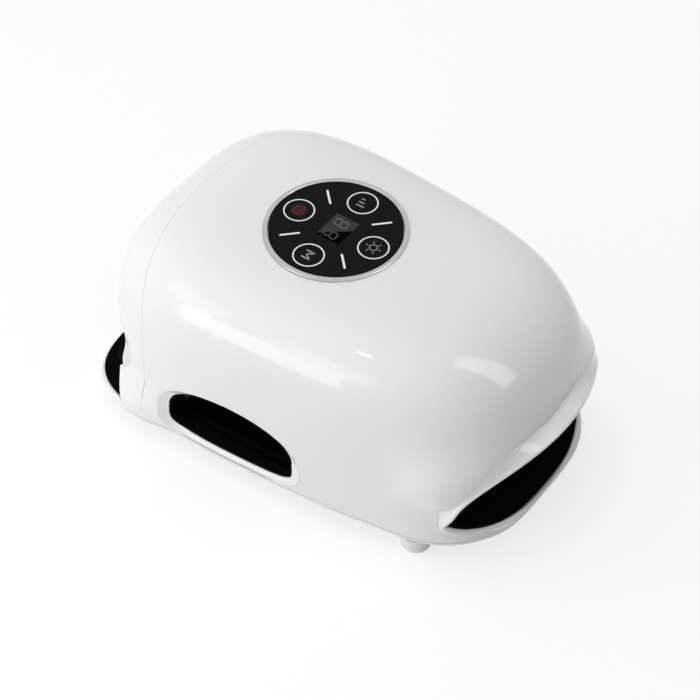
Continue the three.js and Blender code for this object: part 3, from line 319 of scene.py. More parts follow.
def drawn_out(name, rings, ends):
    """A ring of points drawn out through the next ones; ends is closed, open or joined."""
    bpy.ops.mesh.primitive_circle_add(vertices=len(rings[0]), radius=0.01)
    piece = named(name)
    bpy.ops.object.mode_set(mode="EDIT")
    bpy.ops.mesh.select_mode(type="VERT")
    shape = bmesh.from_edit_mesh(piece.data)
    order = shape.verts.layers.int.new("order")
    vert = shape.verts[:][0]
    edge = vert.link_edges[0]
    for i in range(len(rings[0])):
        vert[order] = i
        vert.co = rings[0][i]
        vert = edge.other_vert(vert)
        edge = [e for e in vert.link_edges if e != edge][0]
    bmesh.update_edit_mesh(piece.data)
    bpy.ops.mesh.select_all(action="SELECT")
    if ends == "closed":
        bpy.ops.mesh.edge_face_add()
        bpy.ops.mesh.select_all(action="SELECT")
    for ring in rings[1:]:
        if ends == "closed":
            bpy.ops.mesh.extrude_region_move()
        else:
            bpy.ops.mesh.extrude_edges_move()
        shape = bmesh.from_edit_mesh(piece.data)
        order = shape.verts.layers.int["order"]
        for vert in shape.verts:
            if vert.select:
                vert.co = ring[vert[order]]
        bmesh.update_edit_mesh(piece.data)
    bpy.ops.mesh.select_all(action="SELECT")
    bpy.ops.mesh.remove_doubles(threshold=1e-6)
    faced_out()
    numbers = piece.data.attributes.get("order")
    if numbers:
        piece.data.attributes.remove(numbers)
    return piece


def joined_rings(sections):
    """The rings that run along a row of sections, the first of them again at the end."""
    rings = [[section[i] for section in sections] for i in range(len(sections[0]))]
    return rings + [rings[0]]


def worked(piece, kind, **settings):
    modifier = piece.modifiers.new(kind.lower(), kind)
    for key, value in settings.items():
        setattr(modifier, key, value)
    only(piece)
    bpy.ops.object.modifier_apply(modifier=modifier.name)


def cut(piece, tool, operation="DIFFERENCE", crossing=False):
    worked(piece, "BOOLEAN", object=tool, operation=operation, solver="EXACT", use_self=crossing)
    bpy.data.objects.remove(tool)


def copied(piece, name):
    twin = piece.copy()
    twin.data = piece.data.copy()
    twin.name = name
    twin.data.name = name
    bpy.context.scene.collection.objects.link(twin)
    return twin


def smoothed(piece, angle=32):
    only(piece)
    bpy.ops.object.shade_smooth_by_angle(angle=math.radians(angle))
    worked(piece, "WEIGHTED_NORMAL", keep_sharp=True, weight=60)


def softened(piece, width, segments=2, angle=50):
    """A small round on each edge that is sharper than the angle, in degrees."""
    limits = {"limit_method": "ANGLE", "angle_limit": math.radians(angle)}
    worked(piece, "BEVEL", width=width * 0.001, segments=segments, **limits)


def upright_tool(outline, low, high):
    rings = [[placed(x, y, z) for x, y in outline] for z in (low, high)]
    return drawn_out("tool", rings, "closed")


def mouth_tool(outline, start, stop):
    rings = [[placed(x, y, z) for x, z in outline] for y in (start, stop)]
    return drawn_out("tool", rings, "closed")


def side_tool(outline, start, stop):
    rings = [[placed(x, y, z) for y, z in outline] for x in (start, stop)]
    return drawn_out("tool", rings, "closed")


def circle(radius, count):
    angles = [2 * math.pi * i / count for i in range(count)]
    return [(radius * math.cos(a), radius * math.sin(a)) for a in angles]


def round_tool(radius, low, high, x, y, count):
    return upright_tool([(x + a, y + b) for a, b in circle(radius, count)], low, high)


def block_tool(x0, x1, y0, y1, z0, z1):
    return upright_tool([(x0, y0), (x1, y0), (x1, y1), (x0, y1)], z0, z1)


PLAN_TURNS = evenly(lambda turn: plan_point(turn, 1, 0, PARTING), 232, True)
SPAN = 70


def rise_point(share, inset=0):
    """The dome's height over its narrowing, from the widest level (share 0) to the crown (1)."""
    angle = share * math.pi / 2
    shrink = power(math.cos(angle), 2 / RISE_ROUND)
    rise = power(math.sin(angle), 2 / RISE_ROUND)
    return Vector((SPAN * shrink, 0, (CROWN - inset - WIDEST) * rise))


def dome_rings(inset, count, bottom=PARTING):
    rings = [[plan_point(turn, 1, inset, bottom) for turn in PLAN_TURNS]]
    for share in evenly(lambda s: rise_point(s, inset), count, False):
        point = rise_point(share, inset)
        shrink = point.x / SPAN
        z = WIDEST + point.z
        if z > PARTING + 0.6 and shrink > 0.2:
            rings.append([plan_point(turn, shrink, inset, z) for turn in PLAN_TURNS])
    return rings


def cap_tool(grow):
    """All that lies behind the cap's joint, which bows out towards the wrist."""
    seam = [(66 * i / 20, -(82 - 12 * (i / 20) ** 2) + grow) for i in range(-20, 21)]
    last = seam[0][1]
    outline = [(-90, -120), (90, -120), (90, last), *reversed(seam), (-90, last)]
    return upright_tool(outline, 3, 115)


whole_shell = drawn_out("whole_shell", dome_rings(0, 84), "open")
edited(whole_shell)
bpy.ops.mesh.select_all(action="DESELECT")
bpy.ops.object.mode_set(mode="OBJECT")
top = max(v.co.z for v in whole_shell.data.vertices)
for v in whole_shell.data.vertices:
    v.select = v.co.z > top - 1e-6
bpy.ops.object.mode_set(mode="EDIT")
bpy.ops.mesh.edge_face_add()
faced_out()
worked(whole_shell, "SOLIDIFY", thickness=WALL * 0.001, offset=-1, use_even_offset=True)

dome = copied(whole_shell, "dome_cover")
cut(dome, cap_tool(0))
finger_turns = spaced(seam_point, 180)
cut(dome, mouth_tool([seam_point(t, SEAM) for t in finger_turns], 0, 200))
thumb_turns = spaced(lambda turn: thumb_point(turn, 0, 1), 120)
for start, stop in ((20, 140), (-20, -140)):
    cut(dome, side_tool([thumb_point(t, 0.05, 1) for t in thumb_turns], start, stop))
PANEL_SEAT = 31.54
PANEL_HOLE = 30.3
cut(dome, round_tool(PANEL_SEAT, 102.9, 112, 0, PANEL_PLACE, 128))
cut(dome, round_tool(PANEL_HOLE, 90, 112, 0, PANEL_PLACE, 128))
core = drawn_out("core", dome_rings(WALL / 2, 24), "closed")
POST_PLACES = ((33, 61), (-33, 61), (40, -66), (-40, -66))
for x, y in POST_PLACES:
    post = round_tool(3.6, 70.3, 106, x, y, 24)
    cut(post, round_tool(1.8, 60, 80, x, y, 16))
    worked(post, "BOOLEAN", object=core, operation="INTERSECT", solver="EXACT")
    cut(dome, post, "UNION")
bpy.data.objects.remove(core)
softened(dome, 0.25)
smoothed(dome)


def material_of(name):
    material = bpy.data.materials.new(name)
    return material, emptied(material)


def toned(tree, deep, pale, share):
    inputs = {"Factor": share, "A": (*deep, 1), "B": (*pale, 1)}
    return node(tree, "Mix", inputs, data_type="RGBA").outputs["Result"]


def relief(tree, height, strength, distance):
    inputs = {"Height": height, "Strength": strength, "Distance": distance}
    return node(tree, "Bump", inputs).outputs["Normal"]


def surfaced(tree, inputs):
    body = node(tree, "BsdfPrincipled", inputs)
    node(tree, "OutputMaterial", {"Surface": body.outputs["BSDF"]})


def moulded(name, pale, deep, rough, patch=14, grain=900, depth=0.02, specular=0.5, metal=0):
    """A moulded plastic: faint clouds of colour, a roughness that wanders, and a fine skin."""
    material, tree = material_of(name)
    place = node(tree, "TexCoord").outputs["Object"]
    clouds = node(tree, "TexNoise", {"Vector": place, "Scale": patch, "Detail": 2}).outputs["Fac"]
    skin = node(tree, "TexNoise", {"Vector": place, "Scale": grain, "Detail": 3}).outputs["Fac"]
    wander = {"Value": skin, "To Min": rough * 0.85, "To Max": rough * 1.15}
    look = {
        "Base Color": toned(tree, deep, pale, clouds),
        "Metallic": metal,
        "Roughness": node(tree, "MapRange", wander).outputs["Result"],
        "Specular IOR Level": specular,
        "Normal": relief(tree, skin, depth, 0.0004),
    }
    surfaced(tree, look)
    return material


def finished(piece, material, slot, *nodes, body="housing"):
    piece.data.materials.clear()
    piece.data.materials.append(material)
    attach(piece, body)
    if nodes:
        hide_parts(*nodes)


shell_white = moulded("shell_white", (0.86, 0.852, 0.845), (0.84, 0.833, 0.828), 0.1, 9, 700, 0.008)
finished(dome, shell_white, "shell", "top_cover")

# The wrist collar: the dome's wrist end as a cap of its own, with a flared ring round the mouth,
# a broad lip under it and a ledge that holds the charging board. It clips on behind the seam.
WRIST_EDGE = {"half": 64.4, "middle": 38, "top": 67.4, "bottom": 11.2, "round": (2.3, 4)}
WRIST_REACH = {"visor": 108, "visor_sweep": 25, "lip": 110, "lip_sweep": 23.5, "round": 2.2, "turn": 31}
COLLAR_WALL = 2.4
COLLAR_ROOT = 6
LEAST_REACH = 0.6


def reach_at(edge, reach, x, z):
    """How far out the collar's edge stands, as a visor above and as a lip below."""
    across = min(1, abs(x) / edge["half"]) ** reach["round"]
    visor = reach["visor"] - reach["visor_sweep"] * across
    lip = reach["lip"] - reach["lip_sweep"] * across
    return lip + (visor - lip) * eased((z - reach["turn"]) / 18)


def collar_rings(side, seam, hole, edge, reach, count, root_most, sag=0, bead=0):
    """A flared ring from inside the wall at seam out to a rounded edge, and back in at hole."""
    half = COLLAR_WALL / 2
    sections = []
    for turn in spaced(lambda t: mouth_point(hole, t), count):
        hx, hz = seam(turn)
        rx, rz = mouth_point(hole, turn, -COLLAR_WALL)
        ex, ez = mouth_point(edge, turn)
        ix, iz = mouth_point(edge, turn, -COLLAR_WALL)
        wall = abs(end_at(side, hx, hz))
        out = max(reach_at(edge, reach, ex, ez), wall + LEAST_REACH)
        root = min(wall - COLLAR_ROOT, root_most)
        outer = Vector((hx, side * wall, hz))
        rim = Vector((ex, side * (out - half), ez))
        inner_rim = Vector((ix, side * (out - half), iz))
        neck = min(wall, abs(end_at(side, *mouth_point(hole, turn)))) - COLLAR_WALL
        inner = Vector((rx, side * neck, rz))
        across = (rim - inner_rim) / 2
        middle = (rim + inner_rim) / 2
        section = [Vector((hx, side * root, hz))]
        for i in range(9):
            share = i / 8
            dip = sag * math.sin(math.pi * share)
            section.append(outer.lerp(rim, share) - across.normalized() * dip)
            if bead and i == 0:
                width = min(2.4 * bead, (rim - outer).length / 9)
                for part, rise in ((0.15, 0.7), (0.5, 1), (0.85, 0.7), (1, 0)):
                    lift = across.normalized() * bead * rise * width / (2.4 * bead)
                    section.append(outer + (rim - outer).normalized() * width * part + lift)
        for i in range(1, 8):
            angle = math.pi * i / 8
            forward = Vector((0, side * half, 0))
            section.append(middle + across * math.cos(angle) + forward * math.sin(angle))
        for i in range(7):
            section.append(inner_rim.lerp(inner, i / 6))
        section.append(Vector((rx, side * root, rz)))
        sections.append([placed(*point) for point in section])
    return joined_rings(sections)


LIP = {"half": 74, "length": 111, "round": 5.8, "middle": 11.95, "radius": 1.15, "top": 13.1}


def lip_point(turn, inset, z):
    x = (LIP["half"] - inset) * power(math.cos(turn), 2 / LIP["round"])
    return placed(x, (LIP["length"] - inset) * power(math.sin(turn), 2 / LIP["round"]), z)


LIP_TURNS = evenly(lambda t: lip_point(t, 0, 0), 240, True)


def lip_ring(inset, z):
    return [lip_point(turn, inset, z) for turn in LIP_TURNS]


def lip_rings():
    rings = []
    for i in range(9):
        angle = math.pi * (i / 8 - 0.5)
        inset = LIP["radius"] - LIP["radius"] * math.cos(angle)
        rings.append(lip_ring(inset, LIP["middle"] + LIP["radius"] * math.sin(angle)))
    return rings


def obround(half_width, half_height):
    """The outline of a slot with round ends, as across and up from its middle."""
    straight = half_width - half_height
    outline = []
    for middle, start in ((straight, -90), (-straight, 90)):
        for i in range(13):
            angle = math.radians(start + 180 * i / 12)
            outline.append((middle + half_height * math.cos(angle), half_height * math.sin(angle)))
    return outline


def wrist_seam(turn):
    return mouth_point(WRIST_HOLE, turn)


wrist_collar = whole_shell
wrist_collar.name = "wrist_collar_cap"
cut(wrist_collar, cap_tool(-SEAM), "INTERSECT")
wrist_turns = spaced(wrist_seam, 96)
cut(wrist_collar, mouth_tool([mouth_point(WRIST_HOLE, t, -0.6) for t in wrist_turns], -200, 0))
SIDE_FOOT = 82.5
SIDE_TOP = 29.6
LIP_BACK = 76


def behind_foot(edge):
    """What is cut off the sides over the lip, up to a slanting edge."""
    outline = [(-220, LIP["top"]), (-SIDE_FOOT, LIP["top"]), (-edge, SIDE_TOP), (-220, SIDE_TOP)]
    return side_tool(outline, -140, 140)


cut(wrist_collar, behind_foot(91.4))
web = drawn_out("web", dome_rings(WALL / 2, 24, PARTING - GAP), "closed")
web_front = -SIDE_FOOT + GAP
cut(web, block_tool(-140, 140, web_front, web_front + 2.4, LIP["middle"], SIDE_TOP), "INTERSECT")
cut(web, mouth_tool([mouth_point(WRIST_HOLE, t, -1.2) for t in wrist_turns], -200, 0))
cut(wrist_collar, web, "UNION")
wrist_lip = drawn_out("wrist_lip", lip_rings(), "closed")
cut(wrist_lip, block_tool(-80, 80, -LIP_BACK, 120, 5, 20))
cut(wrist_collar, wrist_lip, "UNION")
SOCKET_Z = 83
LEDGE_HALF = 9.5
LEDGE_TOP = 80.2
ledge_back = end_at(-1, LEDGE_HALF, 80.4) + WALL / 2
port_wall = end_at(-1, 0, 84.65) + GAP
ledge = block_tool(-LEDGE_HALF, LEDGE_HALF, ledge_back, port_wall + WALL + 15, 78.6, LEDGE_TOP)
cut(wrist_collar, ledge, "UNION")
port = [(x, SOCKET_Z + z) for x, z in obround(4.8, 1.95)]
cut(wrist_collar, mouth_tool(port, port_wall - 5, port_wall + 5))


ring_rings = collar_rings(
    -1, wrist_seam, WRIST_HOLE, WRIST_EDGE, WRIST_REACH, 128, SIDE_FOOT - COLLAR_ROOT
)
wrist_ring = drawn_out("wrist_ring", ring_rings, "joined")
cut(wrist_ring, behind_foot(88.4), crossing=True)
cut(wrist_collar, wrist_ring, "UNION", crossing=True)
softened(wrist_collar, 0.2)
smoothed(wrist_collar)
finished(wrist_collar, shell_white, "shell", "wrist_collar")

# The finger collar: a flared visor over the finger mouth and a lip under it, one glossy moulding
# pushed into the dome from the front, rooted behind the wall.
FINGER_EDGE = {"half": 57.1, "middle": 36, "top": 60.5, "bottom": 11.2, "round": (2, 2.8)}
FINGER_REACH = {"visor": 106.9, "visor_sweep": 19.6, "lip": 99, "lip_sweep": 19, "round": 2, "turn": 22}
finger_rings = collar_rings(
    1, seam_point, FINGER_HOLE, FINGER_EDGE, FINGER_REACH, 180, FINGER_HALF, 0.35, 0.42
)
finger_collar = drawn_out("finger_collar_ring", finger_rings, "joined")
smoothed(finger_collar, 50)
trim_white = moulded("trim_white", (0.86, 0.852, 0.845), (0.845, 0.838, 0.832), 0.13, 12, 800, 0.008)
finished(finger_collar, trim_white, "trim", "finger_collar")

# The bottom cover: a shallow tray in the same off-white, closed against the dome with a 0.3 mm
# joint. It carries the bosses for the feet and the floor of the hand space.
TRAY_FLOOR = 10.4
FOOT_PLACES = ((50, 65), (-50, 65), (50, -68), (-50, -68))
bottom_rings = []
for i in range(13):
    share = i / 12
    shrink = 0.92 + 0.08 * (1 - (1 - share) ** 3)
    bottom_rings.append([plan_point(turn, shrink, 0, 8 + 4.7 * share) for turn in PLAN_TURNS])
bottom = drawn_out("bottom_tray", bottom_rings, "closed")
hollow_rings = [
    [plan_point(turn, 1 - 0.08 / 3, WALL, TRAY_FLOOR) for turn in PLAN_TURNS],
    [plan_point(turn, 1, WALL, 18) for turn in PLAN_TURNS],
]
cut(bottom, drawn_out("tool", hollow_rings, "closed"))
for x, y in FOOT_PLACES:
    cut(bottom, round_tool(3.2, 9.2, 12, x, y, 24), "UNION")
cut(bottom, mouth_tool([seam_point(t, SEAM) for t in finger_turns], 0, 200))
cut(bottom, mouth_tool([mouth_point(WRIST_HOLE, t, GAP) for t in wrist_turns], -200, 0))
cut(bottom, block_tool(-140, 140, -220, -LIP_BACK + GAP, WRIST_HOLE["bottom"] - GAP, 104))
for x, y in FOOT_PLACES:
    cut(bottom, round_tool(1.6, 2, 20, x, y, 20))
softened(bottom, 0.2)
smoothed(bottom)
finished(bottom, shell_white, "shell", "bottom_cover")

# The thumb slots' trims: a dished ring of the same white round each slot, snapped into the dome,
# cut off level with the dome's lower edge so that the dish runs out over the joint.
SIDES = ((1, "right"), (-1, "left"))


def trim_sections(side):
    depth = DISH["depth"]
    edge = ((1, WALL), (1, 0.05), (0.99, -0.05), (0.96, -0.12), (0.91, -0.15), (0.84, -0.12))
    sections = []
    for turn in thumb_turns:

        def at(share, sink, grow=0):
            y, z = thumb_point(turn, grow, share)
            return placed(side * (side_at(y, z) - sink), y, z)

        section = [at(share, sink) for share, sink in edge]
        for i in range(1, 11):
            share = 1 - i / 10
            sink = -0.12 + (depth + 0.12) * (1 - share) ** 0.85
            section.append(at(0.8 * share + 0.01, sink - 0.12 * (i == 10)))
        section += [at(0, depth + 0.1), at(0, depth + 1.5), at(0, depth + 1.5, 1.5)]
        sections.append(section)
    return sections


for side, label in SIDES:
    trim = drawn_out("thumb_dish_" + label, joined_rings(trim_sections(side)), "joined")
    cut(trim, block_tool(-140, 140, -90, 90, 0, PARTING))
    smoothed(trim, 50)
    finished(trim, trim_white, "trim", "thumb_trim_" + label)

# The thumb sleeves: thin black rubber tubes that line the slots from the trims in to the frame.
# Each is moulded in one piece, with a flange that clips behind the frame's edge.
SLEEVE_NECK = 61.3
cuff_black = moulded(
    "cuff_black", (0.004, 0.004, 0.0043), (0.0025, 0.0025, 0.0027), 0.85, 40, 2200, 0.25, 0.03
)
for side, label in SIDES:
    sections = []
    for turn in thumb_turns:
        outer = side_at(*thumb_point(turn, -GAP)) - DISH["depth"]
        neck = min(SLEEVE_NECK, outer - 1.5)
        profile = (
            (-0.3, outer - 0.2), (-0.4, outer - 0.05), (-0.6, outer), (-0.9, outer),
            (-1.1, outer - 0.05), (-1.2, outer - 0.2), (-1.2, (outer + neck) / 2),
            (-1.2, neck + 0.2), (-1.1, neck), (1.4, neck), (1.5, neck + 0.15),
            (1.5, neck + 0.75), (1.4, neck + 0.9), (-0.3, neck + 0.9),
        )  # fmt: skip
        section = []
        for grow, x in profile:
            y, z = thumb_point(turn, grow)
            section.append(placed(side * x, y, z))
        sections.append(section)
    sleeve = drawn_out("thumb_sleeve_tube_" + label, joined_rings(sections), "joined")
    smoothed(sleeve, 50)
    finished(sleeve, cuff_black, "cuff_rubber", "thumb_sleeve_" + label)

# The thumb shade sheets: a thin black strip on the tray's floor behind each sleeve, between the
# frame's foot and the massage plate. It is painted shade: a dark sheet that makes the slot's inside
# read black, so that no white shows through the slot.
SHADE_SHEET_SIDES = (43.3, 55.8)
for side, label in SIDES:
    across = sorted(side * x for x in SHADE_SHEET_SIDES)
    block_tool(*across, -61, 57.5, TRAY_FLOOR + 0.02, 11.1)
    mat = named("thumb_shade_sheet_" + label)
    softened(mat, 0.2)
    smoothed(mat, 50)
    finished(mat, cuff_black, "cuff_rubber")

# The cuffs: soft black linings that lead from each mouth's collar in to the tunnel over the hand.
# The wrist cuff has a tongue, glued down over the lip to just inside its edge.
TUNNEL_LOW = 13.5
TUNNEL_HIGH = 67.8


def cuff_rings(side, hole, edge, reach, tunnel_end, tunnel_half, root_most):
    """A lining, 1 mm thick, from behind the collar's edge in to the end of the tunnel."""
    inset = COLLAR_WALL + 3 * GAP
    sections = []
    for turn in spaced(lambda t: mouth_point(hole, t, -inset), 128):
        wall = abs(end_at(side, *mouth_point(hole, turn)))
        out = max(reach_at(edge, reach, *mouth_point(edge, turn)), wall + LEAST_REACH) - COLLAR_WALL / 2
        neck = wall - COLLAR_WALL
        back = tunnel_end + GAP
        root = max(min(wall - COLLAR_ROOT, root_most - GAP), back + 1)
        level = TUNNEL_HIGH if math.sin(turn) > 0 else 2 * hole["middle"] - TUNNEL_LOW
        rise = level - hole["middle"]

        def front(depth):
            ax, az = mouth_point(edge, turn, -depth)
            bx, bz = mouth_point(hole, turn, -depth)
            return Vector((ax, side * out, az)).lerp(Vector((bx, side * neck, bz)), 0.34)

        def inside(depth, y):
            x, z = mouth_point(hole, turn, -depth)
            return Vector((x, side * y, z))

        def end(less):
            x = (tunnel_half - 2.2 - less) * power(math.cos(turn), 1 / 3)
            z = hole["middle"] + (rise - less) * power(math.sin(turn), 1 / 3)
            return Vector((x, side * back, z))

        lip, inner_lip = front(inset), front(inset + 1)
        section = [lip, lip.lerp(inside(inset, neck), 0.5), inside(inset, neck)]
        section += [inside(inset, root), end(0), end(1), inside(inset + 1, root)]
        section += [inside(inset + 1, neck), inner_lip.lerp(inside(inset + 1, neck), 0.5), inner_lip]
        for share, forward in ((0.2, 0.28), (0.5, 0.42), (0.8, 0.28)):
            section.append(inner_lip.lerp(lip, share) + Vector((0, side * forward, 0)))
        sections.append([placed(*point) for point in section])
    return joined_rings(sections)


wrist_rings = cuff_rings(-1, WRIST_HOLE, WRIST_EDGE, WRIST_REACH, 72, 61, SIDE_FOOT - COLLAR_ROOT)
wrist_cuff = drawn_out("wrist_cuff", wrist_rings, "joined")
tongue_steps = ((1.8, 13.4), (1.5, 13.7), (1.5, 14.1), (1.62, 14.4), (1.95, 14.6))
tongue = drawn_out("tongue", [lip_ring(inset, z) for inset, z in tongue_steps], "closed")
cut(tongue, block_tool(-80, 80, -83.7, 120, 5, 20))
joined(wrist_cuff, tongue)
smoothed(wrist_cuff, 50)
finished(wrist_cuff, cuff_black, "cuff_rubber", "wrist_lining")
finger_rings = cuff_rings(1, FINGER_HOLE, FINGER_EDGE, FINGER_REACH, 68, 49, FINGER_HALF)
finger_cuff = drawn_out("finger_cuff", finger_rings, "joined")
smoothed(finger_cuff, 50)
finished(finger_cuff, cuff_black, "cuff_rubber", "finger_lining")

# The feet: four pads of off-white rubber with a rounded edge and a shallow hollow underneath.
# Each hides a screw that holds the bottom cover to the inner frame.


def turned(name, profile, x, y, count, ends="closed"):
    rings = [[placed(x + a, y + b, z) for a, b in circle(radius, count)] for radius, z in profile]
    if ends == "joined":
        rings.append(rings[0])
    return drawn_out(name, rings, ends)


foot_rubber = moulded("foot_rubber", (0.9, 0.893, 0.88), (0.86, 0.853, 0.84), 0.6, 120, 1600, 0.12, 0.3)
FOOT_PROFILE = (
    (3.4, 0.35), (3.7, 0.3), (3.95, 0.05), (4.2, 0), (5.6, 0), (6.1, 0.1), (6.5, 0.35), (6.72, 0.7),
    (6.8, 1.1), (6.8, 6.6), (6.7, 6.75), (6.7, 7), (6.8, 7.15), (6.8, 7.7),
)  # fmt: skip
for number, (x, y) in enumerate(FOOT_PLACES, 1):
    foot = turned(f"foot_pad_{number}", FOOT_PROFILE, x, y, 56)
    smoothed(foot, 40)
    finished(foot, foot_rubber, "foot_rubber", f"foot_{number}")

# The panel's bezel: a turned ring of satin silver, pressed into the round seat in the crown. Its
# neck goes down inside the dome and holds the lens on a ledge, with the touch board under it.
BEZEL_PROFILE = (
    (25.7, 94.85), (29.85, 94.85), (30, 95), (30, 103.2), (31.4, 103.2), (31.5, 103.3), (31.5, 104.9),
    (31.44, 105.12), (31.3, 105.28), (31.1, 105.37), (30.85, 105.4), (29.75, 105.4), (29.55, 105.36),
    (29.4, 105.25), (29.32, 105.1), (29.3, 104.95), (29.3, 103.15), (25.7, 103.15),
)  # fmt: skip
bezel = turned("panel_ring", BEZEL_PROFILE, 0, PANEL_PLACE, 144, "joined")
smoothed(bezel, 35)
satin_silver = moulded(
    "satin_silver", (0.54, 0.54, 0.55), (0.48, 0.48, 0.49), 0.24, 60, 2600, 0.05, 0.5, 1
)
finished(bezel, satin_silver, "bezel", "panel_bezel")

# The lens: a disc of black glass with its edge ground round. The window, the ticks, the key rings
# and their signs are printed on it, and each key is felt through the glass by a spring below.
LENS_TOP = 104.95
LENS_PROFILE = (
    (28.6, 103.45), (28.9, 103.52), (29, 103.7), (29, 104.7), (28.93, 104.86), (28.7, LENS_TOP),
)  # fmt: skip
lens = turned("panel_glass", LENS_PROFILE, 0, PANEL_PLACE, 144)
smoothed(lens, 25)
black_glass = moulded(
    "black_glass", (0.0062, 0.0055, 0.005), (0.0052, 0.0046, 0.0044), 0.09, 30, 300, 0.004, 0.05
)
finished(lens, black_glass, "lens", "panel_lens")
PRINT_HALF = 0.02


def print_ink(name, shade):
    pale = tuple(c * 1.04 for c in shade)
    return moulded(name, pale, shade, 0.45, 400, 3000, 0.02, 0.15)


def plate(outline):
    points = [(x, PANEL_PLACE + y) for x, y in outline]
    return upright_tool(points, LENS_TOP - PRINT_HALF, LENS_TOP + PRINT_HALF)


def stroke(x0, y0, x1, y1, width):
    """A line with round ends."""
    angle = math.atan2(y1 - y0, x1 - x0)
    outline = []
    for x, y, start in ((x1, y1, angle - math.pi / 2), (x0, y0, angle + math.pi / 2)):
        for i in range(9):
            a = start + math.pi * i / 8
            outline.append((x + width / 2 * math.cos(a), y + width / 2 * math.sin(a)))
    return plate(outline)


def arc(x, y, radius, width, start=0.0, stop=360.0):
    """A round line, closed or part of the way round, made of short flat lengths."""
    count = max(6, int(abs(stop - start) / 6))
    inner, outer = radius - width / 2, radius + width / 2
    pieces = []
    for i in range(count):
        a, b = (math.radians(start + (stop - start) * k / count) for k in (i, i + 1))
        corners = ((inner, a), (outer, a), (outer, b), (inner, b))
        pieces.append(plate([(x + r * math.cos(t), y + r * math.sin(t)) for r, t in corners]))
    return pieces


def spokes(y, turns, inner, outer, width):
    """Strokes that point away from a place y up from the panel's middle."""
    strokes = []
    for turn in turns:
        c, s = math.cos(math.radians(turn)), math.sin(math.radians(turn))
        strokes.append(stroke(inner * c, y + inner * s, outer * c, y + outer * s, width))
    return strokes


def raised(pieces):
    """A second ink, printed on the first."""
    for piece in pieces:
        for vert in piece.data.vertices:
            vert.co.z += 0.00001


def printed(name, pieces, ink):
    joined(*pieces)
    mark = named(name)
    edited(mark)
    bpy.ops.mesh.select_all(action="SELECT")
    bpy.ops.mesh.remove_doubles(threshold=1e-7)
    bpy.ops.object.mode_set(mode="OBJECT")
    finished(mark, ink, "lens")


KEY_RING = 19.6
marks = spokes(0, (45, 135, 225, 315), 15.9, 23.9, 0.95)
for x, y in ((KEY_RING, 0), (-KEY_RING, 0), (0, KEY_RING), (0, -KEY_RING)):
    marks += arc(x, y, 6.6, 0.6)
printed("key_rings_and_ticks", marks, print_ink("ink_white", (0.88, 0.88, 0.88)))

signs = []
for x, height in ((-2.1, -0.4), (0, 0.6), (2.1, 1.7)):
    signs.append(stroke(x - KEY_RING, -1.6, x - KEY_RING, height, 0.75))
for x0, y0, x1, y1, width in (
    (-2.1, -2, -2.1, 2, 0.8),
    (-2.1, 2, 0, -1.2, 0.7),
    (0, -1.2, 2.1, 2, 0.7),
    (2.1, 2, 2.1, -2, 0.8),
):
    signs.append(stroke(KEY_RING + x0, y0, KEY_RING + x1, y1, width))
signs += arc(0, KEY_RING, 1.75, 0.42)
signs += spokes(KEY_RING, range(30, 360, 60), 2.75, 3.5, 0.45)
printed("key_signs", signs, print_ink("ink_grey", (0.3, 0.3, 0.3)))

red_disc = plate([(x, y - KEY_RING) for x, y in circle(3.6, 48)])
printed("power_key_disc", [red_disc], print_ink("ink_red", (0.032, 0.0022, 0.005)))
power_sign = arc(0, -KEY_RING, 2.4, 0.45, 125, 415)
power_sign.append(stroke(0, -KEY_RING, 0, -KEY_RING + 2.6, 0.45))
raised(power_sign)
printed("power_key_sign", power_sign, print_ink("ink_pale_red", (0.088, 0.016, 0.022)))

# The window's paler upper part is a painted reflection: a grey patch that stands for light glancing off
# the glass. The black lower part is the window's own colour.
window_painted_reflection = print_ink("window_painted_reflection", (0.03, 0.03, 0.029))
printed("window_reflection_patch", [plate([(6.6, -5.2), (-3, 6.7), (-8.1, 6.7), (-8.1, -5.2)])], window_painted_reflection)
window_black = moulded(
    "window_black", (0.0008, 0.0008, 0.0008), (0.0005, 0.0005, 0.0005), 0.12, 400, 3000, 0.01, 0.01
)
printed("window_lower", [plate([(6.6, -5.2), (7.3, -5.2), (7.3, 6.7), (-3, 6.7)])], window_black)
LEAN = 0.08
SEGMENT = 0.72
digits = []
for x in (-3.9, 3.9):
    segments = []
    for y in (-3.1, 0, 3.1):
        middle = x + LEAN * y
        segments.append(stroke(middle - 1.3, y, middle + 1.3, y, SEGMENT))
    for y in (-1.55, 1.55):
        for across in (-1.85, 1.85):
            middle = x + across + LEAN * y
            segments.append(stroke(middle - LEAN, y - 1, middle + LEAN, y + 1, SEGMENT))
    raised(segments)
    digits.append(segments)
point = stroke(6.85, -3.1, 6.9, -3.1, 0.5)
raised([point])
printed("digit_lit", digits[0], print_ink("digit_green", (0.1, 0.115, 0.095)))
printed("digit_dim", [*digits[1], point], print_ink("digit_grey", (0.045, 0.05, 0.042)))

# The charging socket: a folded steel shell with rounded ends and a flat tongue in it, soldered to
# a small board of its own that slides on the ledge behind the collar's port.
SOCKET_FRONT = -99.95
SOCKET_PROFILE = (
    (4.05, 1.2, 7.9), (4.05, 1.2, 0.3), (4.15, 1.3, 0.05), (4.28, 1.43, 0),
    (4.42, 1.57, 0.05), (4.5, 1.65, 0.3), (4.5, 1.65, 8.8), (4.35, 1.5, 9),
)  # fmt: skip
SOCKET_TONGUE = ((-3, -0.35), (3, -0.35), (3, 0.35), (-3, 0.35))
socket_rings = []
for half_width, half_height, depth in SOCKET_PROFILE:
    outline = obround(half_width, half_height)
    socket_rings.append([placed(x, SOCKET_FRONT + depth, SOCKET_Z + z) for x, z in outline])
socket = drawn_out("charging_shell", socket_rings, "open")
edited(socket)
bpy.ops.mesh.select_all(action="DESELECT")
bpy.ops.mesh.select_mode(type="EDGE")
bpy.ops.mesh.select_non_manifold()
bpy.ops.mesh.edge_face_add()
faced_out()
tongue_rings = []
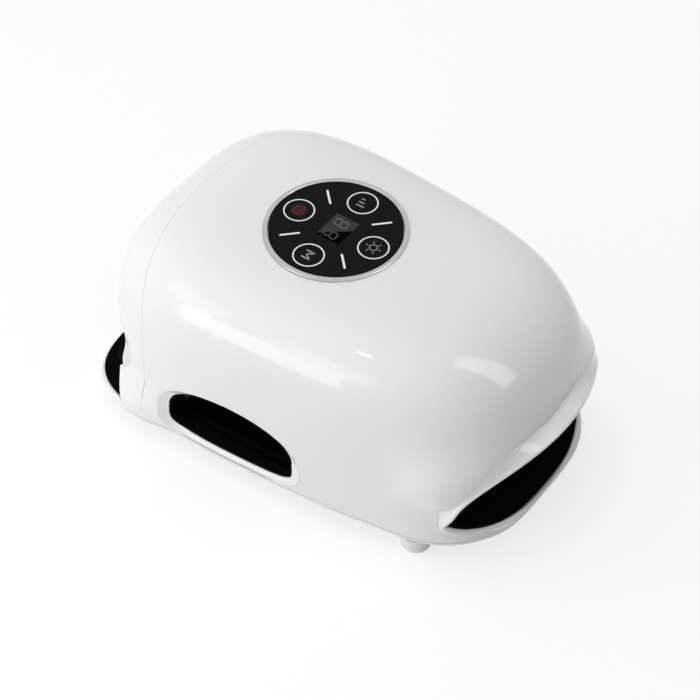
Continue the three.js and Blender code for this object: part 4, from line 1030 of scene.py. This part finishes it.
for inset, depth in ((0.12, 0.8), (0, 1), (0, 8)):
    ring = []
    for x, z in SOCKET_TONGUE:
        across = x - math.copysign(inset, x)
        ring.append(placed(across, SOCKET_FRONT + depth, SOCKET_Z + z * (1 - inset)))
    tongue_rings.append(ring)
joined(socket, drawn_out("socket_tongue", tongue_rings, "closed"))
smoothed(socket, 40)
shell_steel = moulded(
    "shell_steel", (0.56, 0.565, 0.57), (0.46, 0.465, 0.47), 0.28, 160, 3200, 0.06, 0.5, 1
)
finished(socket, shell_steel, "steel", "charging_socket")

# The inner frame: one black moulding that stands on the bottom cover and carries all that is
# inside. Its tunnel leads the hand in, and its deck holds the cells, the pump and the board.
frame_black = moulded(
    "frame_black", (0.006, 0.006, 0.0063), (0.004, 0.004, 0.0043), 0.7, 25, 1500, 0.12, 0.04
)


def coated(material, *names):
    """The finish of pieces whose shape the model already has."""
    for name in names:
        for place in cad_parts[name].material_slots:
            place.material = material


coated(frame_black, "inner_frame", "massage_plate", "press_plate")

# The floor lining: black knit stretched over the massage plate's round heads, so that it stands
# up over each and sinks between them. Its edge is turned down and glued round the plate.
FLOOR_HALF = 43
FLOOR_LENGTH = 61.55
TURN_DOWN = 2.5
HEADS = [(x, y) for x in (-20, 0, 20) for y in (-33, -11, 11, 33)]
WAVE = 0.314


def woven(name, pale, deep, thread, sheen):
    """A close cloth of crossing threads, each thread metres wide, with a soft sheen."""
    material, tree = material_of(name)
    place = node(tree, "TexCoord").outputs["Object"]
    bands = {"Vector": place, "Scale": WAVE / thread, "Distortion": 0.4, "Detail Scale": 2}
    threads = [node(tree, "TexWave", bands, bands_direction=d).outputs["Fac"] for d in "XY"]
    crossing = reckoned(tree, "MULTIPLY", *threads)
    wear = node(tree, "TexNoise", {"Vector": place, "Scale": 60, "Detail": 4}).outputs["Fac"]
    look = {
        "Base Color": toned(tree, deep, pale, reckoned(tree, "MULTIPLY", crossing, wear)),
        "Roughness": 0.9,
        "Specular IOR Level": 0.06,
        "Sheen Weight": sheen,
        "Sheen Roughness": 0.5,
        "Normal": relief(tree, crossing, 0.5, 0.0003),
    }
    surfaced(tree, look)
    return material


def turned_down(along, flat):
    """How far out and how far down a place on the cloth comes, from its distance along it."""
    past = max(0, abs(along) - flat)
    angle = min(math.pi / 2, past / TURN_DOWN)
    out = math.copysign(min(abs(along), flat) + TURN_DOWN * math.sin(angle), along)
    return out, TURN_DOWN * (1 - math.cos(angle))


def tented(x, y):
    """The height of the cloth's underside over the plate's heads and between them."""
    held = 0
    for column, row in HEADS:
        held += math.exp(-(((x - column) ** 2 + (y - row) ** 2) / 52))
    return 16.35 + 1.05 * min(1, held)


bpy.ops.mesh.primitive_grid_add(x_subdivisions=94, y_subdivisions=130, size=2)
floor_cloth = named("floor_knit")
quarter = TURN_DOWN * math.pi / 2
for vert in floor_cloth.data.vertices:
    x, drop_x = turned_down(vert.co.x * (FLOOR_HALF + quarter), FLOOR_HALF)
    y, drop_y = turned_down(vert.co.y * (FLOOR_LENGTH + quarter), FLOOR_LENGTH)
    drop = min(TURN_DOWN - 0.2, math.hypot(drop_x, drop_y))
    vert.co = placed(x, y, tented(x, y) - drop)
worked(floor_cloth, "SOLIDIFY", thickness=0.0009, offset=1, use_even_offset=False)
only(floor_cloth)
bpy.ops.object.shade_smooth()
black_knit = woven("black_knit", (0.008, 0.008, 0.0085), (0.0025, 0.0025, 0.0028), 0.0009, 0.01)
finished(floor_cloth, black_knit, "lining_cloth", "floor_lining")

# The upper cushion: soft foam in a black cloth cover, glued under the warming film. Its underside
# is stitched across into channels, and a welt runs round its edge.
CUSHION_HALF = 40
CUSHION_LENGTH = 55
CUSHION_PLACE = -4
CUSHION_LOW = 50.9
CUSHION_TOP = 60.4
STITCHED_BELOW = 0.0552
WELT_LEVEL = 56


def puffed(piece, pressure, most):
    """The cover blown out by its filling; no point moves further than most, in metres."""
    before = [vert.co.copy() for vert in piece.data.vertices]
    cloth = piece.modifiers.new("cover", "CLOTH")
    cloth.settings.use_pressure = True
    cloth.settings.uniform_pressure_force = pressure
    cloth.settings.effector_weights.gravity = 0
    for step in range(1, 21):
        bpy.context.scene.frame_set(step)
    only(piece)
    bpy.ops.object.modifier_apply(modifier=cloth.name)
    bpy.context.scene.frame_set(1)
    for vert, old in zip(piece.data.vertices, before):
        move = vert.co - old
        vert.co = old + move * min(1, most / max(move.length, 1e-9))


bpy.ops.mesh.primitive_cube_add(
    size=0.001,
    location=placed(0, CUSHION_PLACE, CUSHION_TOP - 4.35),
    scale=(2 * CUSHION_HALF - 4, 2 * CUSHION_LENGTH - 4, 5.7),
)
cushion = named("upper_pad")
bpy.ops.object.transform_apply(location=True, rotation=False, scale=True)
bpy.ops.object.mode_set(mode="EDIT")
bpy.ops.mesh.select_mode(type="EDGE")
bpy.ops.mesh.select_all(action="DESELECT")
bpy.ops.object.mode_set(mode="OBJECT")
for edge in cushion.data.edges:
    low, high = (cushion.data.vertices[i].co for i in edge.vertices)
    edge.select = abs(low.z - high.z) > 0.001
bpy.ops.object.mode_set(mode="EDIT")
bpy.ops.mesh.bevel(offset=0.011, segments=6)
bpy.ops.object.mode_set(mode="OBJECT")
softened(cushion, 2.2, 3, 60)
worked(cushion, "REMESH", mode="VOXEL", voxel_size=0.0025)
puffed(cushion, 4, 0.0023)
low = placed(-CUSHION_HALF + 0.8, CUSHION_PLACE - CUSHION_LENGTH + 0.8, CUSHION_LOW)
high = placed(CUSHION_HALF - 0.8, CUSHION_PLACE + CUSHION_LENGTH - 0.8, CUSHION_TOP)
for vert in cushion.data.vertices:
    vert.co = Vector([min(max(c, a), b) for c, a, b in zip(vert.co, low, high)])
worked(cushion, "SUBSURF", levels=2, render_levels=2)
for vert in cushion.data.vertices:
    if vert.co.z < STITCHED_BELOW:
        along = vert.co.y * 1000 - HALVES_MEET - CUSHION_PLACE
        near = min(abs(along - row) for row in (-44, -22, 0, 22, 44))
        vert.co.z += 0.0016 * math.exp(-((near / 1.5) ** 2))


def welt_point(turn, out=0):
    x = (37.6 + out) * power(math.cos(turn), 0.32)
    return x, (52.6 + out) * power(math.sin(turn), 0.32)


sections = []
for turn in spaced(welt_point, 160):
    section = []
    for out, up in circle(1.1, 10):
        x, y = welt_point(turn, out)
        section.append(placed(x, CUSHION_PLACE + y, WELT_LEVEL + up))
    sections.append(section)
joined(cushion, drawn_out("welt", joined_rings(sections), "joined"))
bpy.ops.object.shade_smooth()
black_cover = woven("black_cover", (0.009, 0.009, 0.0095), (0.003, 0.003, 0.0032), 0.0007, 0.02)
finished(cushion, black_cover, "lining_cloth", "upper_cushion", body="press_pad")

# The warming film: copper tracks sealed between two sheets of amber polyimide, glued to the
# press plate. The tracks run to and fro across it.
TRACK = 0.004


def two_tone(tree, share, *stops):
    """A colour that changes between two stops, each of them a share and a colour."""
    ramp = node(tree, "ValToRGB", {"Fac": share})
    for element, (position, colour) in zip(ramp.color_ramp.elements, stops):
        element.position = position
        element.color = (*colour, 1)
    return ramp.outputs["Color"]


def lacquered(tree, colour, rough, height, strength):
    bumps = relief(tree, height, strength, 0.0001)
    surfaced(tree, {"Base Color": colour, "Roughness": rough, "Normal": bumps})


film_amber, tree = material_of("film_amber")
waves = {"Vector": node(tree, "TexCoord").outputs["Object"], "Scale": WAVE / TRACK}
tracks = node(tree, "TexWave", waves, bands_direction="Y").outputs["Fac"]
amber = two_tone(tree, tracks, (0.52, (0.42, 0.15, 0.02)), (0.6, (0.2, 0.06, 0.012)))
lacquered(tree, amber, 0.3, tracks, 0.4)
coated(film_amber, "heating_film")

# The air bag: two sheets of grey film welded together round the edge and along three short lines,
# so that it swells in soft cells. It lies between the frame's ceiling and the press plate.
BAG_PLACE = (0, -4)
BAG_HALF = (36, 50)
BAG_MIDDLE = 65.1
BAG_RISE = 1.15
BAG_WELD = 0.16


def bag_swell(x, y):
    """How far each sheet stands off the bag's middle."""
    edge = min(BAG_HALF[0] - abs(x), BAG_HALF[1] - abs(y)) - 3
    if edge <= 0:
        return BAG_WELD
    swell = BAG_WELD + BAG_RISE * min(1, edge / 9) ** 0.5 * eased(edge / 9) ** 0.25
    for row in (-25, 0, 25):
        near = math.hypot(max(0, abs(x) - 21), y - row)
        swell = BAG_WELD + (swell - BAG_WELD) * (1 - math.exp(-((near / 3.2) ** 2)))
    return min(swell, 1.3)


bpy.ops.mesh.primitive_grid_add(x_subdivisions=60, y_subdivisions=84, size=2)
bag = named("upper_bag")
bpy.ops.object.mode_set(mode="EDIT")
bpy.ops.mesh.select_all(action="SELECT")
bpy.ops.mesh.extrude_region_move(TRANSFORM_OT_translate={"value": (0, 0, 1)})
faced_out()
for vert in bag.data.vertices:
    x, y = vert.co.x * BAG_HALF[0], vert.co.y * BAG_HALF[1]
    level = BAG_MIDDLE + math.copysign(bag_swell(x, y), vert.co.z - 0.5)
    vert.co = placed(BAG_PLACE[0] + x, BAG_PLACE[1] + y, level)
only(bag)
bpy.ops.object.shade_smooth_by_angle(angle=math.radians(50))
bag_grey = moulded("bag_grey", (0.3, 0.31, 0.33), (0.24, 0.25, 0.265), 0.42, 45, 1800, 0.15, 0.4)
bag.data.materials.clear()
bag.data.materials.append(bag_grey)
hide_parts("upper_air_bag")
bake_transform(bag)

# The cells: two steel cans side by side, each in a blue shrunk sleeve with a raised end cap.
# They lie in a white cradle on the deck, on the user's right of the pump.
CELL_BACK = -11.95
CELL_LEVEL = 81.1
CAN = (
    (7.2, 0.2), (8.2, 0.18), (8.6, 0.35), (8.9, 0.8), (9, 1.5), (9, 60.9), (8.7, 61.4), (8.7, 62.2),
    (9, 62.7), (9, 63.5), (8.8, 63.9), (8.3, 64), (7.6, 63.8), (7.4, 63.4), (3.5, 63.4), (3.3, 63.6),
    (3.2, 64.6), (3, 64.85), (2.6, 64.9),
)  # fmt: skip
SLEEVE = (
    (7.5, 0.25), (7.7, 0.05), (8, 0), (8.5, 0.05), (8.85, 0.3), (9.05, 0.8), (9.1, 1.5), (9.1, 60.9),
    (8.82, 61.4), (8.82, 62.2), (9.1, 62.7), (9.1, 63.5), (8.9, 64), (8.4, 64.2), (7.3, 64.15),
)  # fmt: skip


def lying(name, profile, x):
    """A turned piece whose axis runs from the wrist end to the finger end."""
    rings = []
    for radius, y in profile:
        points = circle(radius, 64)
        rings.append([placed(x + a, CELL_BACK + y, CELL_LEVEL + b) for a, b in points])
    return drawn_out(name, rings, "closed")


cell_blue = moulded("cell_blue", (0.035, 0.12, 0.33), (0.028, 0.1, 0.28), 0.32, 80, 900, 0.04, 0.5)
can_steel = moulded("can_steel", (0.5, 0.5, 0.5), (0.4, 0.4, 0.405), 0.3, 120, 2600, 0.05, 0.5, 1)
for number, x in ((1, 14.2), (2, 33.2)):
    can = lying(f"cell_can_{number}", CAN, x)
    smoothed(can, 40)
    finished(can, can_steel, "steel")
    sleeve = lying(f"cell_wrap_{number}", SLEEVE, x)
    cut(sleeve, copied(can, "tool"))
    smoothed(sleeve, 40)
    finished(sleeve, cell_blue, "cell_sleeve", f"battery_cell_{number}")

# The rest of what the deck carries keeps the model's shapes: white moulded holders, the pump with
# its steel motor, the valves with their rubber plungers, the grey air block and the clear hose.
springs = [f"touch_spring_{i}" for i in range(1, 5)]
screws = [f"{kind}_screw_{i}" for kind in ("case", "cover") for i in range(1, 5)]
for pieces, *look in (
    (
        ("battery_holder", "pump_cradle", "display_module"),
        "holder_white", (0.72, 0.71, 0.69), (0.66, 0.65, 0.63), 0.42, 40, 900, 0.06, 0.4,
    ),
    (
        ("pump_motor",),
        "motor_steel", (0.5, 0.51, 0.52), (0.38, 0.39, 0.4), 0.26, 90, 2400, 0.08, 0.5, 1,
    ),
    (
        ("pump_head", "valve_body_1", "valve_body_2"),
        "pump_black", (0.03, 0.03, 0.032), (0.022, 0.022, 0.023), 0.45, 50, 1200, 0.1, 0.4,
    ),
    (
        ("pump_crank", *springs),
        "crank_steel", (0.6, 0.6, 0.6), (0.5, 0.5, 0.5), 0.22, 200, 3000, 0.05, 0.5, 1,
    ),
    (
        ("valve_plunger_1", "valve_plunger_2", "air_manifold"),
        "plunger_grey", (0.09, 0.09, 0.095), (0.06, 0.06, 0.064), 0.7, 80, 1800, 0.2, 0.3,
    ),
    (
        ("air_tube",),
        "hose_clear", (0.6, 0.63, 0.65), (0.52, 0.55, 0.57), 0.25, 60, 1500, 0.05, 0.45,
    ),
    (
        screws,
        "screw_steel", (0.52, 0.52, 0.53), (0.4, 0.4, 0.41), 0.3, 220, 3200, 0.1, 0.5, 1,
    ),
):  # fmt: skip
    coated(moulded(*look), *pieces)

# The boards: green laminate with paler copper runs under its lacquer. One drives the pump and the
# valves, one sits under the touch keys and one carries the charging socket.
board_green, tree = material_of("board_green")
cells = {"Vector": node(tree, "TexCoord").outputs["Object"], "Scale": 260, "Randomness": 0.55}
runs = node(tree, "TexVoronoi", cells, feature="DISTANCE_TO_EDGE").outputs["Distance"]
green = two_tone(tree, runs, (0.05, (0.03, 0.2, 0.075)), (0.09, (0.009, 0.085, 0.028)))
lacquered(tree, green, 0.35, runs, 0.3)
coated(board_green, "main_board", "touch_board", "charging_board")

bpy.context.view_layer.update()
